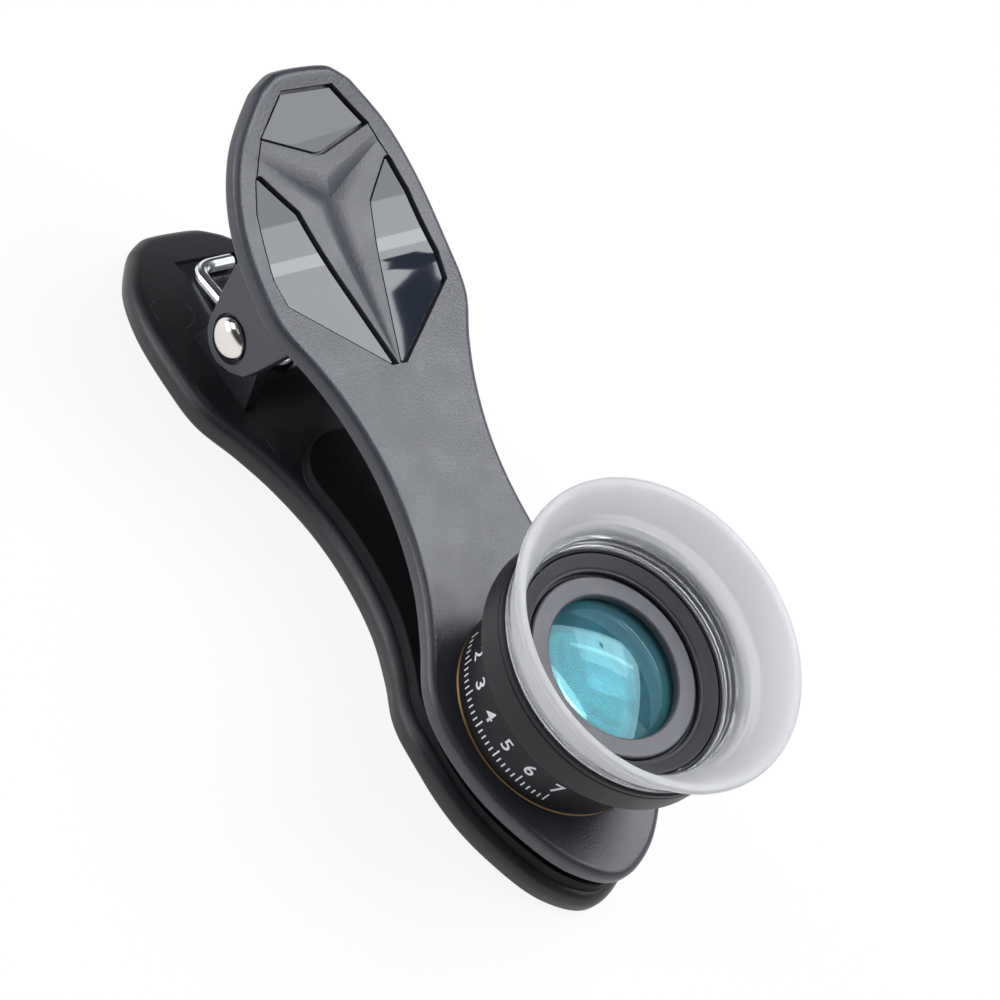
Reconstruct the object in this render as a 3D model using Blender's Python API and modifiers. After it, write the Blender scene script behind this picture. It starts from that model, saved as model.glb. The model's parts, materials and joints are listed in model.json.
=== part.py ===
"""Clip-on lens: two moulded jaws on a sprung pivot, a screw-in lens and a pull-off hood.

Sizes are in millimetres and become metres where each mesh is made. +Z is up, the thumb ends point
to +Y, and the clip lies on the back of its rear jaw.

Each jaw is drawn in its own frame with its origin on the pivot: x across, s along the jaw (+ to the
thumb end) and h out from the jaw's reference face. The lens is drawn about its own axis, with
z = 0 on the front jaw's face.
"""

import math

import bmesh
import bpy
import numpy as np
from mathutils import Matrix, Vector

MM = 0.001

# Jaw plan, the same for both jaws: half width and distance along from the pivot
JAW_OUTLINE = [
    (0.0, 20.75), (3.4, 20.5), (6.0, 18.8), (9.4, 14.1), (11.45, 8.2), (12.1, 1.1),
    (11.75, -3.5), (9.75, -8.1), (8.25, -12.5), (7.2, -18.2), (7.15, -24.0), (8.2, -30.6),
    (10.1, -35.8), (12.2, -40.4), (12.7, -44.2), (11.35, -50.3), (8.6, -55.5), (4.6, -60.2),
    (0.0, -62.2),
]
POINTS_PER_SPAN = 3
PIVOT_TO_LENS = 45.4

# Front jaw
FRONT_THICK = 2.3
FRONT_EDGE = 0.75
FRONT_UNDER_EDGE = 0.4
FACE_ABOVE_PIVOT = 10.4
CROWN_START = 0.0
CROWN_RADIUS = 48.0
CROWN_LENGTH = 30.0

# Rear jaw
REAR_THICK = 2.7
REAR_EDGE = 0.95
REAR_BACK_EDGE = 0.6
PIVOT_ABOVE_BACK = 8.5
REAR_CROWN_RADIUS = 90.0
NOSE_BEND_START = 42.5
NOSE_BEND_END = 46.5
NOSE_BEND_DEG = 18.5
REAR_THUMB_LENGTH = 0.96
REST_HALF_WIDTH = 2.4
REST_BOW = 0.03
JAW_OPEN_DEG = 15.7
EDGE_STEPS = 2

# Hinge ears
FRONT_EAR_OUTER = 9.3
FRONT_EAR_THICK = 1.5
EAR_GAP = 0.3
REAR_EAR_THICK = 1.3
FRONT_BOSS_RADIUS = 3.4
REAR_BOSS_RADIUS = 3.2
EAR_ROOT = 0.9
EAR_ARC_STEPS = 10

# Rivet
RIVET_RADIUS = 1.5
RIVET_TAIL_RADIUS = 1.0
RIVET_HEAD_RADIUS = 2.05
RIVET_HEAD_HEIGHT = 1.6
COUNTERBORE_RADIUS = 2.5
COUNTERBORE_DEPTH = 0.5

# Torsion spring
WIRE_RADIUS = 0.62
COIL_RADIUS = 3.6
COIL_TURNS = 5
COIL_AIR = 0.12
FOOT_ALONG = 13.7
FOOT_CORNER_X = -1.0
FOOT_END_X = 2.9
FOOT_BEND_RADIUS = 1.3
POCKET_DEPTH = 0.5
POCKET_LEFT = 3.4
POCKET_RIGHT = 4.6
POCKET_LOW = 8.6
POCKET_HIGH = 15.0

# Pads
PAD_INSET = 1.1
PAD_BEVEL = 1.0
PAD_RISE = 1.3
PAD_END = -9.2
PAD_END_RADIUS = 6.0
PAD_PLANE = -3.3
PAD_MEET_GAP = 0.1
PAD_BONDLINE = 0.05
FRONT_PAD_RECESS = 0.4
FRONT_PAD_HOLE_GAP = 0.4
PAD_LIP = 0.35

# Thumb inlays: half width and distance along, the row list runs from the nose side
INLAY_SINK = 0.3
INLAY_BONDLINE = 0.05
INLAY_THICK = 0.4
INLAY_SIDE_GAP = 0.08
TOP_INLAY_ROWS = [(0.4, 12.6), (6.2, 14.7), (3.0, 18.5)]
SIDE_INLAY_INNER = [(0.5, -9.0), (4.6, 7.1), (7.75, 10.9)]
SIDE_INLAY_OUTER = [(0.8, -9.0), (9.55, -1.6), (9.9, 1.1), (9.1, 7.6), (8.05, 10.9)]
INLAY_ROW_STEP = 1.0
CREASE_CENTRE = 8.1
CREASE_DEPTH = 0.45
CREASE_END_DEPTH = 0.04
CREASE_ARM_X = 7.9
CREASE_ARM_ALONG = 13.1
CREASE_ARM_HALF = 1.7
CREASE_TIP = -8.8
CREASE_STEPS = 6

# Lens and its mount: radii step in and out from the barrel's, heights are above the front jaw's face
STATIC_GAP = 0.1
RUNNING_GAP = 0.05
BREAK = 0.15
MOUNT_FLANGE_TOP = 0.4
MOUNT_TUBE_STEP = 2.6
MOUNT_TUBE_WALL = 1.0
MOUNT_TUBE_DEPTH = 1.65
BARREL_RADIUS = 11.0
BARREL_BASE_STEP = 0.4
BARREL_TOP = 9.9
BARREL_WALL = 1.9
BARREL_LEDGE = 4.4
BARREL_LEDGE_WIDTH = 1.5
BARREL_SHELF = 2.3
BARREL_SHELF_WIDTH = 2.6
BARREL_REAR_WALL = 1.0
BARREL_REAR_DEPTH = 1.6
SPIGOT_BOTTOM = -2.6
COLLAR_WALL = 2.6
COLLAR_BOTTOM = 8.6
COLLAR_TOP = 12.6
COLLAR_RIM = 0.55
COLLAR_LIP = 0.25
COLLAR_LIP_DROP = 0.3
COLLAR_GROOVE_FLOOR = 10.4
COLLAR_LINE = 0.6
COLLAR_LINE_DEPTH = 0.12
FACE_RING_TOP = 11.16
FACE_RING_WIDTH = 1.3
FACE_RING_INNER_DROP = 0.66
RETAINER_WIDTH = 1.95
RETAINER_TOP = 10.3
RETAINER_BOTTOM = 9.2
RETAINER_UNDERCUT = 0.4
FRONT_LENS_EDGE = 2.1
FRONT_LENS_BULGE = 1.05
FRONT_LENS_BACK_BULGE = 0.9
SPACER_STEP = 0.2
INNER_LENS_BEZEL = 0.5
INNER_LENS_BULGE = 0.7
REAR_LENS_LENGTH = 3.0
REAR_LENS_BEZEL = 1.0
REAR_LENS_BULGE = 0.6
REAR_RING_HEIGHT = 0.8
REAR_RING_WIDTH = 0.9
HOOD_RIM_RADIUS = 15.5
HOOD_RIM_TOP = 18.0
HOOD_LIP = [(-0.35, 0.0), (-0.05, -0.1), (0.0, -0.35), (-0.1, -0.65), (-0.4, -0.9)]
HOOD_LIP_INNER = [(-1.2, -0.7), (-0.9, -0.2), (-0.7, -0.05)]
HOOD_FOOT_STEP = 0.2
HOOD_FOOT_HEIGHT = 0.5
HOOD_FOOT_FLARE = 0.25
HOOD_SPIGOT_TAPER = 0.15
LENS_FIT = 0.1
ROUND_STEPS = 48
HIDDEN_STEPS = 28
SMALL_STEPS = 20

# Colours
JAW_GREY = (0.045, 0.046, 0.052)
REAR_BLACK = (0.022, 0.022, 0.026)
PAD_RUBBER = (0.012, 0.012, 0.013)
INLAY_GLOSS = (0.05, 0.052, 0.06)
STEEL = (0.62, 0.62, 0.64)
BRASS = (0.58, 0.40, 0.22)
LENS_BLACK = (0.012, 0.012, 0.014)
RING_GREY = (0.07, 0.07, 0.075)
GLASS = (0.55, 0.75, 0.74)
HOOD_FROST = (0.62, 0.61, 0.66)

for old in list(bpy.data.objects):
    bpy.data.objects.remove(old)
part_collection = bpy.data.collections.new("clip_on_lens")
tool_collection = bpy.data.collections.new("cutters")
bpy.context.scene.collection.children.link(part_collection)
bpy.context.scene.collection.children.link(tool_collection)


def material(name, colour, roughness, metallic=0.0, glassy=0.0):
    made = bpy.data.materials.new(name)
    made.use_nodes = True
    shader = made.node_tree.nodes["Principled BSDF"]
    shader.inputs["Base Color"].default_value = (*colour, 1.0)
    shader.inputs["Roughness"].default_value = roughness
    shader.inputs["Metallic"].default_value = metallic
    shader.inputs["Transmission Weight"].default_value = glassy
    return made


def add_object(name, mesh, parent, look=None, smooth=True):
    """Links a mesh as a part, or as a hidden cutter where it has no look."""
    made = bpy.data.objects.new(name, mesh)
    made.parent = parent
    for polygon in mesh.polygons:
        polygon.use_smooth = smooth
    if look:
        part_collection.objects.link(made)
        mesh.materials.append(look)
    else:
        tool_collection.objects.link(made)
        made.hide_render = True
        made.display_type = "WIRE"
    return made


def mesh_of(name, points, faces):
    """A closed mesh in metres from points in millimetres, with its faces turned outwards."""
    shape = bmesh.new()
    verts = [shape.verts.new(Vector(point) * MM) for point in points]
    for face in faces:
        shape.faces.new([verts[i] for i in face])
    bmesh.ops.recalc_face_normals(shape, faces=shape.faces)
    mesh = bpy.data.meshes.new(name)
    shape.to_mesh(mesh)
    shape.free()
    return mesh


def frame(name, parent, location, turn_x=0.0):
    """An empty that carries a group of pieces."""
    made = bpy.data.objects.new(name, None)
    part_collection.objects.link(made)
    made.parent = parent
    made.location = Vector(location) * MM
    made.rotation_euler = (turn_x, 0.0, 0.0)
    made.empty_display_size = 0.01
    return made


def apply_boolean(target, tool, operation):
    cut = target.modifiers.new(operation.lower(), "BOOLEAN")
    cut.operation = operation
    cut.solver = "EXACT"
    cut.object = tool


def smooth_curve(controls, per_span):
    """A centripetal Catmull-Rom line through half-outline points whose ends lie on the mid line."""
    pts = [Vector((-controls[1][0], controls[1][1]))]
    pts += [Vector(point) for point in controls]
    pts.append(Vector((-controls[-2][0], controls[-2][1])))
    line = []
    for i in range(1, len(pts) - 2):
        a, b, c, d = pts[i - 1:i + 3]
        t1 = math.sqrt((b - a).length)
        t2 = t1 + math.sqrt((c - b).length)
        t3 = t2 + math.sqrt((d - c).length)
        for step in range(per_span):
            t = t1 + (t2 - t1) * step / per_span
            ab = a.lerp(b, t / t1)
            bc = b.lerp(c, (t - t1) / (t2 - t1))
            cd = c.lerp(d, (t - t2) / (t3 - t2))
            left = ab.lerp(bc, t / t2)
            right = bc.lerp(cd, (t - t1) / (t3 - t1))
            line.append(left.lerp(right, (t - t1) / (t2 - t1)))
    line.append(pts[-2])
    return line


def inset(half, distance):
    """A half outline moved inwards, its ends kept on the mid line."""
    moved = []
    for i, point in enumerate(half):
        before = half[i - 1] if i else Vector((-half[1].x, half[1].y))
        after = half[i + 1] if i + 1 < len(half) else Vector((-half[-2].x, half[-2].y))
        along = (after - before).normalized()
        moved.append(point - Vector((-along.y, along.x)) * distance)
    moved[0].x = 0.0
    moved[-1].x = 0.0
    return moved


def blunt(half, width, bow):
    """A half outline whose two ends run almost straight across, so that it can rest on them."""
    squared = []
    for point in half:
        end = half[0].y if point.y > 0.0 else half[-1].y
        inwards = -math.copysign(bow, end) * point.x / width
        squared.append(Vector((point.x, end + inwards)) if point.x <= width else point)
    return squared


def station(s, thumb_bend, nose_bend):
    """Where length s along a jaw comes to (y, z), and the jaw's slope there."""
    side, (start, end, turn) = (1.0, thumb_bend) if s >= 0 else (-1.0, nose_bend)
    length = abs(s)
    straight = min(length, start)
    curved = min(max(length - start, 0.0), end - start)
    rest = max(length - end, 0.0)
    if not turn:
        return side * length, 0.0, 0.0
    radius = (end - start) / turn
    angle = curved / radius
    y = straight + radius * math.sin(angle) + rest * math.cos(angle)
    z = radius * (1.0 - math.cos(angle)) + rest * math.sin(angle)
    return side * y, z, side * angle


def front_point(x, s, h):
    """A point of the front jaw's frame: h is measured out from the face."""
    crown = (CROWN_START, CROWN_START + CROWN_LENGTH, CROWN_LENGTH / CROWN_RADIUS)
    y, z, slope = station(s, crown, (1.0, 2.0, 0.0))
    return (x, y - h * math.sin(slope), FACE_ABOVE_PIVOT + z + h * math.cos(slope))


def rear_point(x, s, h):
    """A point of the rear jaw's frame: h is measured in from the back."""
    crown = (CROWN_START, CROWN_START + CROWN_LENGTH, -CROWN_LENGTH / REAR_CROWN_RADIUS)
    bend = (NOSE_BEND_START, NOSE_BEND_END, -math.radians(NOSE_BEND_DEG))
    y, z, slope = station(s, crown, bend)
    return (x, y - h * math.sin(slope), z - PIVOT_ABOVE_BACK + h * math.cos(slope))


def edge_rings(top, bottom, top_round, bottom_round):
    """(inset, height) pairs from the top face's border, over a rounded edge, to the bottom's."""
    rings = []
    for step in range(EDGE_STEPS + 1):
        a = math.pi / 2 * step / EDGE_STEPS
        rings.append((top_round * (1 - math.sin(a)), top - top_round * (1 - math.cos(a))))
    for step in range(EDGE_STEPS + 1):
        a = math.pi / 2 * step / EDGE_STEPS
        rings.append((bottom_round * (1 - math.cos(a)), bottom + bottom_round * (1 - math.sin(a))))
    return rings


def slab(name, half, rings, place):
    """A plate lofted through inset copies of a half outline; place turns (x, s, h) into a point."""
    points = []
    count = len(half)
    for distance, height in rings:
        side = inset(half, distance)
        points += [place(p.x, p.y, height) for p in side]
        points += [place(-p.x, p.y, height) for p in side[count - 2:0:-1]]
    loop = 2 * count - 2
    faces = []
    for ring in range(len(rings) - 1):
        for i in range(loop):
            j = (i + 1) % loop
            faces.append((ring * loop + i, ring * loop + j, (ring + 1) * loop + j, (ring + 1) * loop + i))
    for base in (0, (len(rings) - 1) * loop):
        faces.append((base, base + 1, base + loop - 1))
        for i in range(1, count - 2):
            faces.append((base + i, base + i + 1, base + loop - i - 1, base + loop - i))
        faces.append((base + count - 2, base + count - 1, base + count))
    return mesh_of(name, points, faces)


def loft(name, sections):
    """A closed solid through sections that have the same number of corners."""
    count = len(sections[0])
    points = [point for section in sections for point in section]
    faces = [tuple(range(count)), tuple(range(len(points) - count, len(points)))]
    for first in range(0, len(points) - count, count):
        for i in range(count):
            j = (i + 1) % count
            faces.append((first + i, first + j, first + count + j, first + count + i))
    return mesh_of(name, points, faces)


def strip(name, rows, top, bottom, place):
    """A thin plate between two edges: rows of (s, x low, x high)."""
    sections = []
    for s, low, high in rows:
        sections.append([place(low, s, top), place(high, s, top), place(high, s, bottom), place(low, s, bottom)])
    return loft(name, sections)


def plate(name, outline, low, high):
    """A flat plate across x from an outline of (y, z) points."""
    return loft(name, [[(x, y, z) for y, z in outline] for x in (low, high)])


def turned(name, profile, steps, parent, look, closed=True, across=False):
    """A Screw-modifier turning of (radius, height) points, listed down the outer side."""
    mesh = bpy.data.meshes.new(name)
    points = [(r * MM, 0.0, z * MM) for r, z in profile]
    edges = [(i, i + 1) for i in range(len(points) - 1)]
    if closed:
        edges.append((len(points) - 1, 0))
    mesh.from_pydata(points, edges, [])
    made = add_object(name, mesh, parent, look)
    if across:
        made.rotation_euler = (0.0, math.pi / 2, 0.0)
    screw = made.modifiers.new("turn", "SCREW")
    screw.steps = steps
    screw.render_steps = steps
    screw.use_merge_vertices = True
    screw.merge_threshold = 1e-5
    return made


def pivot_cutter(name, radius, low, high, parent):
    """A cylinder on the pivot between two x positions."""
    profile = [(0.0, high), (radius, high), (radius, low), (0.0, low)]
    return turned(name, profile, SMALL_STEPS, parent, None, closed=False, across=True)


def arc(radius, start_deg, end_deg, steps):
    turn = math.radians(end_deg - start_deg) / steps
    start = math.radians(start_deg)
    return [(radius * math.cos(start + turn * i), radius * math.sin(start + turn * i)) for i in range(steps + 1)]


def line_at(line, s):
    """The half width of a row list at distance s."""
    return float(np.interp(s, [p[1] for p in line], [p[0] for p in line]))


half_outline = smooth_curve(JAW_OUTLINE, POINTS_PER_SPAN)
open_angle = math.radians(JAW_OPEN_DEG)
mount_radius = BARREL_RADIUS - BARREL_BASE_STEP
tube_outer = mount_radius - MOUNT_TUBE_STEP
tube_inner = tube_outer - MOUNT_TUBE_WALL
spigot_radius = tube_inner - LENS_FIT

# Frames: the rear jaw carries the pivot, the front jaw turns on it, the lens sits on its own axis
root = frame("clip_root", None, (0.0, 0.0, 0.0))
rear_frame = frame("rear_jaw_frame", root, (0.0, 0.0, 0.0))
front_frame = frame("pivot_axis", rear_frame, (0.0, 0.0, 0.0), open_angle)
lens_frame = frame("lens_axis", front_frame, (0.0, -PIVOT_TO_LENS, FACE_ABOVE_PIVOT))

jaw_look = material("jaw_plastic", JAW_GREY, 0.5)
rear_look = material("rear_jaw_plastic", REAR_BLACK, 0.45)

# Rear jaw with its hinge ears and the pocket for the spring's foot
rear_rings = edge_rings(REAR_THICK, 0.0, REAR_EDGE, REAR_BACK_EDGE)
rear_outline = [Vector((p.x, p.y * REAR_THUMB_LENGTH)) if p.y > 0.0 else p for p in half_outline]
rear_outline = blunt(rear_outline, REST_HALF_WIDTH, REST_BOW)
rear_jaw = add_object(
    "rear_jaw", slab("rear_jaw", rear_outline, rear_rings, rear_point), rear_frame, rear_look
)
rear_ear_outer = FRONT_EAR_OUTER - FRONT_EAR_THICK - EAR_GAP
rear_ear_inner = rear_ear_outer - REAR_EAR_THICK
rear_root = REAR_THICK - EAR_ROOT - PIVOT_ABOVE_BACK
rear_ear = [(5.6, rear_root)] + arc(REAR_BOSS_RADIUS, 0.0, 180.0, EAR_ARC_STEPS) + [(-4.6, rear_root)]
for side, low in (("left", -rear_ear_outer), ("right", rear_ear_inner)):
    mesh = plate(f"rear_ear_{side}", rear_ear, low, low + REAR_EAR_THICK)
    apply_boolean(rear_jaw, add_object(f"rear_ear_{side}", mesh, rear_frame, smooth=False), "UNION")
pin_hole = RIVET_RADIUS + RUNNING_GAP
hole_reach = FRONT_EAR_OUTER + 1.0
rear_hole = pivot_cutter("rear_pin_hole", pin_hole, -hole_reach, hole_reach, rear_frame)
apply_boolean(rear_jaw, rear_hole, "DIFFERENCE")
pocket_rows = [(s, -POCKET_LEFT, POCKET_RIGHT) for s in np.linspace(POCKET_LOW, POCKET_HIGH, 4)]
pocket = strip("foot_pocket", pocket_rows, REAR_THICK + 1.0, REAR_THICK - POCKET_DEPTH, rear_point)
apply_boolean(rear_jaw, add_object("foot_pocket", pocket, rear_frame, smooth=False), "DIFFERENCE")

# Front jaw with its ears, nose hole, inlay recesses and three-armed crease
front_rings = edge_rings(0.0, -FRONT_THICK, FRONT_EDGE, FRONT_UNDER_EDGE)
front_jaw = add_object(
    "front_jaw", slab("front_jaw", half_outline, front_rings, front_point), front_frame, jaw_look
)
front_root = FACE_ABOVE_PIVOT - FRONT_THICK + EAR_ROOT
front_ear = [(5.6, front_root), (5.3, 5.0), (4.3, 1.7)]
front_ear += arc(FRONT_BOSS_RADIUS, -10.0, -106.0, EAR_ARC_STEPS)
front_ear += [(-2.6, -2.1), (-3.9, -0.5), (-4.4, 1.8), (-5.1, 6.4), (-5.4, front_root)]
for side, low in (("left", -FRONT_EAR_OUTER), ("right", FRONT_EAR_OUTER - FRONT_EAR_THICK)):
    mesh = plate(f"front_ear_{side}", front_ear, low, low + FRONT_EAR_THICK)
    apply_boolean(front_jaw, add_object(f"front_ear_{side}", mesh, front_frame, smooth=False), "UNION")
front_hole = pivot_cutter("front_pin_hole", pin_hole, -hole_reach, hole_reach, front_frame)
apply_boolean(front_jaw, front_hole, "DIFFERENCE")
counterbore_at = FRONT_EAR_OUTER - COUNTERBORE_DEPTH
for side, low, high in (("left", -hole_reach, -counterbore_at), ("right", counterbore_at, hole_reach)):
    bore = pivot_cutter(f"counterbore_{side}", COUNTERBORE_RADIUS, low, high, front_frame)
    apply_boolean(front_jaw, bore, "DIFFERENCE")
nose_radius = tube_outer + STATIC_GAP
nose_cut = [(0.0, 1.0), (nose_radius, 1.0), (nose_radius, -FRONT_THICK - 1.0), (0.0, -FRONT_THICK - 1.0)]
nose_hole = turned("nose_hole", nose_cut, ROUND_STEPS, lens_frame, None, closed=False)
apply_boolean(front_jaw, nose_hole, "DIFFERENCE")


def pad_half(distance):
    """Half outline of a grip pad: the jaw's nose half moved in, closed by a round end."""
    body = [p for p in inset(half_outline, distance) if p.y < PAD_END - PAD_END_RADIUS]
    width = body[0].x
    radius = max(width, 1.0)
    top = PAD_END - (distance - PAD_INSET)
    centre = body[0].y + 0.6
    end = []
    for i in range(EAR_ARC_STEPS):
        a = math.pi / 2 * i / EAR_ARC_STEPS
        end.append(Vector((radius * math.sin(a), centre + (top - centre) * math.cos(a))))
    return end + body


def pad_slab(name, insets_and_heights, place):
    """A pad lofted through its own half outlines, one per ring."""
    outer = pad_half(PAD_INSET)
    return slab(name, outer, insets_and_heights, place)


def rear_pad_point(x, s, h):
    """A rear pad point, its top held down to the plane where the two pads meet."""
    x, y, z = rear_point(x, s, h)
    along = Vector((y, z)) @ Vector((math.cos(open_angle), math.sin(open_angle)))
    up = Vector((y, z)) @ Vector((-math.sin(open_angle), math.cos(open_angle)))
    up = min(up, FACE_ABOVE_PIVOT + PAD_PLANE)
    y = along * math.cos(open_angle) - up * math.sin(open_angle)
    z = along * math.sin(open_angle) + up * math.cos(open_angle)
    return (x, y, z)


pad_look = material("pad_rubber", PAD_RUBBER, 0.6)
pad_floor = REAR_THICK + PAD_BONDLINE
rear_pad_rings = [(PAD_BEVEL, pad_floor + PAD_RISE), (0.0, pad_floor + PAD_LIP), (0.0, pad_floor)]
rear_pad = pad_slab("rear_jaw_pad", rear_pad_rings, rear_pad_point)
add_object("rear_jaw_pad", rear_pad, rear_frame, pad_look, smooth=False)

front_pad_top = -FRONT_THICK + FRONT_PAD_RECESS
front_pad_bottom = PAD_PLANE + PAD_MEET_GAP
front_pad_rings = [
    (0.0, front_pad_top - PAD_BONDLINE), (0.0, front_pad_bottom + PAD_LIP), (PAD_LIP, front_pad_bottom),
]
front_pad = pad_slab("front_jaw_pad", front_pad_rings, front_point)
front_pad_object = add_object("front_jaw_pad", front_pad, front_frame, pad_look, smooth=False)
light_radius = spigot_radius + FRONT_PAD_HOLE_GAP
pad_cut = [(0.0, 1.0), (light_radius, 1.0), (light_radius, PAD_PLANE - 1.0), (0.0, PAD_PLANE - 1.0)]
pad_hole = turned("pad_hole", pad_cut, ROUND_STEPS, lens_frame, None, closed=False)
apply_boolean(front_pad_object, pad_hole, "DIFFERENCE")
seat_rings = [(-STATIC_GAP, front_pad_top), (-STATIC_GAP, -FRONT_THICK - 1.0)]
pad_seat = add_object("pad_seat", pad_slab("pad_seat", seat_rings, front_point), front_frame, smooth=False)
apply_boolean(front_jaw, pad_seat, "DIFFERENCE")


def inlay_rows(inner, outer, grow):
    """Rows of (s, x low, x high) between two edges, each moved out by grow."""
    low, high = inner[0][1], inner[-1][1]
    corners = {p[1] for p in inner + outer}
    steps = max(2, round((high - low) / INLAY_ROW_STEP))
    stops = sorted(corners | {low + (high - low) * i / steps for i in range(steps + 1)})
    rows = []
    for s in stops:
        edge = s - grow if s == low else s + grow if s == high else s
        rows.append((edge, line_at(inner, s) - grow, line_at(outer, s) + grow))
    return rows


def inlay_set(name, inner, outer, side):
    """A gloss inlay and the recess it sits in. side is -1 or 1, or 0 for one across the middle."""
    for piece, grow, top, bottom in (
        (f"{name}_recess", INLAY_SIDE_GAP, 1.0, -INLAY_SINK - INLAY_THICK - INLAY_BONDLINE),
        (name, 0.0, -INLAY_SINK, -INLAY_SINK - INLAY_THICK),
    ):
        if side:
            rows = inlay_rows(inner, outer, grow)
            rows = [(s, *sorted((side * a, side * b))) for s, a, b in rows]
        else:
            rows = [(s, -b, b) for s, _, b in inlay_rows(outer, outer, grow)]
        mesh = strip(piece, rows, top, bottom, front_point)
        look = None if grow else inlay_look
        made = add_object(piece, mesh, front_frame, look, smooth=False)
        if grow:
            apply_boolean(front_jaw, made, "DIFFERENCE")


def crease(name, start, end, start_half, end_half):
    """A shallow V cut into the front jaw's face, deepest at its start."""
    begin, finish = Vector(start), Vector(end)
    across = (finish - begin).normalized().orthogonal()
    sections = []
    for i in range(CREASE_STEPS + 1):
        t = i / CREASE_STEPS
        centre = begin.lerp(finish, t)
        depth = CREASE_DEPTH + (CREASE_END_DEPTH - CREASE_DEPTH) * t
        half = start_half + (end_half - start_half) * t
        reach = half * (1.0 + CREASE_DEPTH / depth)
        corners = ((0.0, -depth), (reach, CREASE_DEPTH), (-reach, CREASE_DEPTH))
        spots = [(centre + across * shift, h) for shift, h in corners]
        sections.append([front_point(spot.x, spot.y, h) for spot, h in spots])
    made = add_object(name, loft(name, sections), front_frame, smooth=False)
    apply_boolean(front_jaw, made, "DIFFERENCE")


inlay_look = material("inlay_gloss", INLAY_GLOSS, 0.06)
inlay_set("thumb_inlay_top", TOP_INLAY_ROWS, TOP_INLAY_ROWS, 0)
inlay_set("thumb_inlay_left", SIDE_INLAY_INNER, SIDE_INLAY_OUTER, -1)
inlay_set("thumb_inlay_right", SIDE_INLAY_INNER, SIDE_INLAY_OUTER, 1)
crease_centre = (0.0, CREASE_CENTRE)
crease("crease_left", crease_centre, (-CREASE_ARM_X, CREASE_ARM_ALONG), CREASE_ARM_HALF, CREASE_ARM_HALF)
crease("crease_right", crease_centre, (CREASE_ARM_X, CREASE_ARM_ALONG), CREASE_ARM_HALF, CREASE_ARM_HALF)
crease("crease_stem", crease_centre, (0.0, CREASE_TIP), SIDE_INLAY_INNER[1][0], SIDE_INLAY_INNER[0][0])

# Rivet and its pressed-on cap
steel_look = material("rivet_steel", STEEL, 0.2, 1.0)
head_base = counterbore_at + RUNNING_GAP
dome = [
    (RIVET_HEAD_RADIUS * math.cos(a), head_base + RIVET_HEAD_HEIGHT * (0.35 + 0.65 * math.sin(a)))
    for a in np.linspace(math.pi / 2, 0.0, 5)
]
dome[0] = (0.0, dome[0][1])
tail_end = head_base + RIVET_HEAD_HEIGHT * 0.5
rivet_profile = [(0.0, -dome[0][1])] + [(r, -z) for r, z in dome[1:]]
rivet_profile += [
    (RIVET_HEAD_RADIUS, -head_base), (RIVET_RADIUS, -head_base), (RIVET_RADIUS, counterbore_at),
    (RIVET_TAIL_RADIUS, counterbore_at), (RIVET_TAIL_RADIUS, tail_end), (0.0, tail_end),
]
turned("pivot_rivet", rivet_profile[::-1], SMALL_STEPS, rear_frame, steel_look, closed=False, across=True)
cap_bore = RIVET_TAIL_RADIUS + RUNNING_GAP
cap_profile = dome + [
    (RIVET_HEAD_RADIUS, head_base), (cap_bore, head_base),
    (cap_bore, tail_end + RUNNING_GAP), (0.0, tail_end + RUNNING_GAP),
]
turned("pivot_rivet_cap", cap_profile, SMALL_STEPS, rear_frame, steel_look, closed=False, across=True)


def rounded_corner(before, corner, after, radius, steps):
    """Points that turn a corner on a quadratic arc."""
    start = corner + (before - corner).normalized() * radius
    end = corner + (after - corner).normalized() * radius
    return [
        start.lerp(corner, t).lerp(corner.lerp(end, t), t)
        for t in (i / steps for i in range(steps + 1))
    ]


def spring_path():
    """The wire's centre line: upper foot, coil, lower foot."""
    to_rear = Matrix.Rotation(open_angle, 3, "X")
    under = -FRONT_THICK - WIRE_RADIUS - STATIC_GAP
    floor = REAR_THICK - POCKET_DEPTH + WIRE_RADIUS + STATIC_GAP
    upper_end = to_rear @ Vector(front_point(-FOOT_END_X, FOOT_ALONG, under))
    upper_corner = to_rear @ Vector(front_point(-FOOT_CORNER_X, FOOT_ALONG, under))
    lower_corner = Vector(rear_point(FOOT_CORNER_X, FOOT_ALONG, floor))
    lower_end = Vector(rear_point(FOOT_END_X, FOOT_ALONG, floor))
    start = math.pi / 2 + open_angle
    end = -math.pi / 2 + 2 * math.pi * COIL_TURNS
    turns = (end - start) / (2 * math.pi)
    pitch = 2 * WIRE_RADIUS + COIL_AIR
    first_x = turns * pitch / 2
    steps = round(turns * 12)
    coil = []
    for i in range(steps + 1):
        a = start + (end - start) * i / steps
        x = first_x - pitch * (a - start) / (2 * math.pi)
        coil.append(Vector((x, COIL_RADIUS * math.cos(a), COIL_RADIUS * math.sin(a))))
    path = [upper_end]
    path += rounded_corner(upper_end, upper_corner, coil[0], FOOT_BEND_RADIUS, 4)
    path += coil
    path += rounded_corner(coil[-1], lower_corner, lower_end, FOOT_BEND_RADIUS, 4)
    path.append(lower_end)
    return path


def wire_mesh(name, path, radius):
    curve = bpy.data.curves.new(name, "CURVE")
    curve.dimensions = "3D"
    curve.bevel_depth = radius * MM
    curve.bevel_resolution = 2
    curve.use_fill_caps = True
    spline = curve.splines.new("POLY")
    spline.points.add(len(path) - 1)
    for point, place in zip(spline.points, path):
        point.co = (*(place * MM), 1.0)
    drawn = bpy.data.objects.new(f"{name}_path", curve)
    tool_collection.objects.link(drawn)
    bpy.context.view_layer.update()
    mesh = bpy.data.meshes.new_from_object(drawn)
    bpy.data.objects.remove(drawn)
    shape = bmesh.new()
    shape.from_mesh(mesh)
    bmesh.ops.remove_doubles(shape, verts=shape.verts, dist=1e-6)
    bmesh.ops.recalc_face_normals(shape, faces=shape.faces)
    shape.to_mesh(mesh)
    shape.free()
    return mesh


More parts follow.
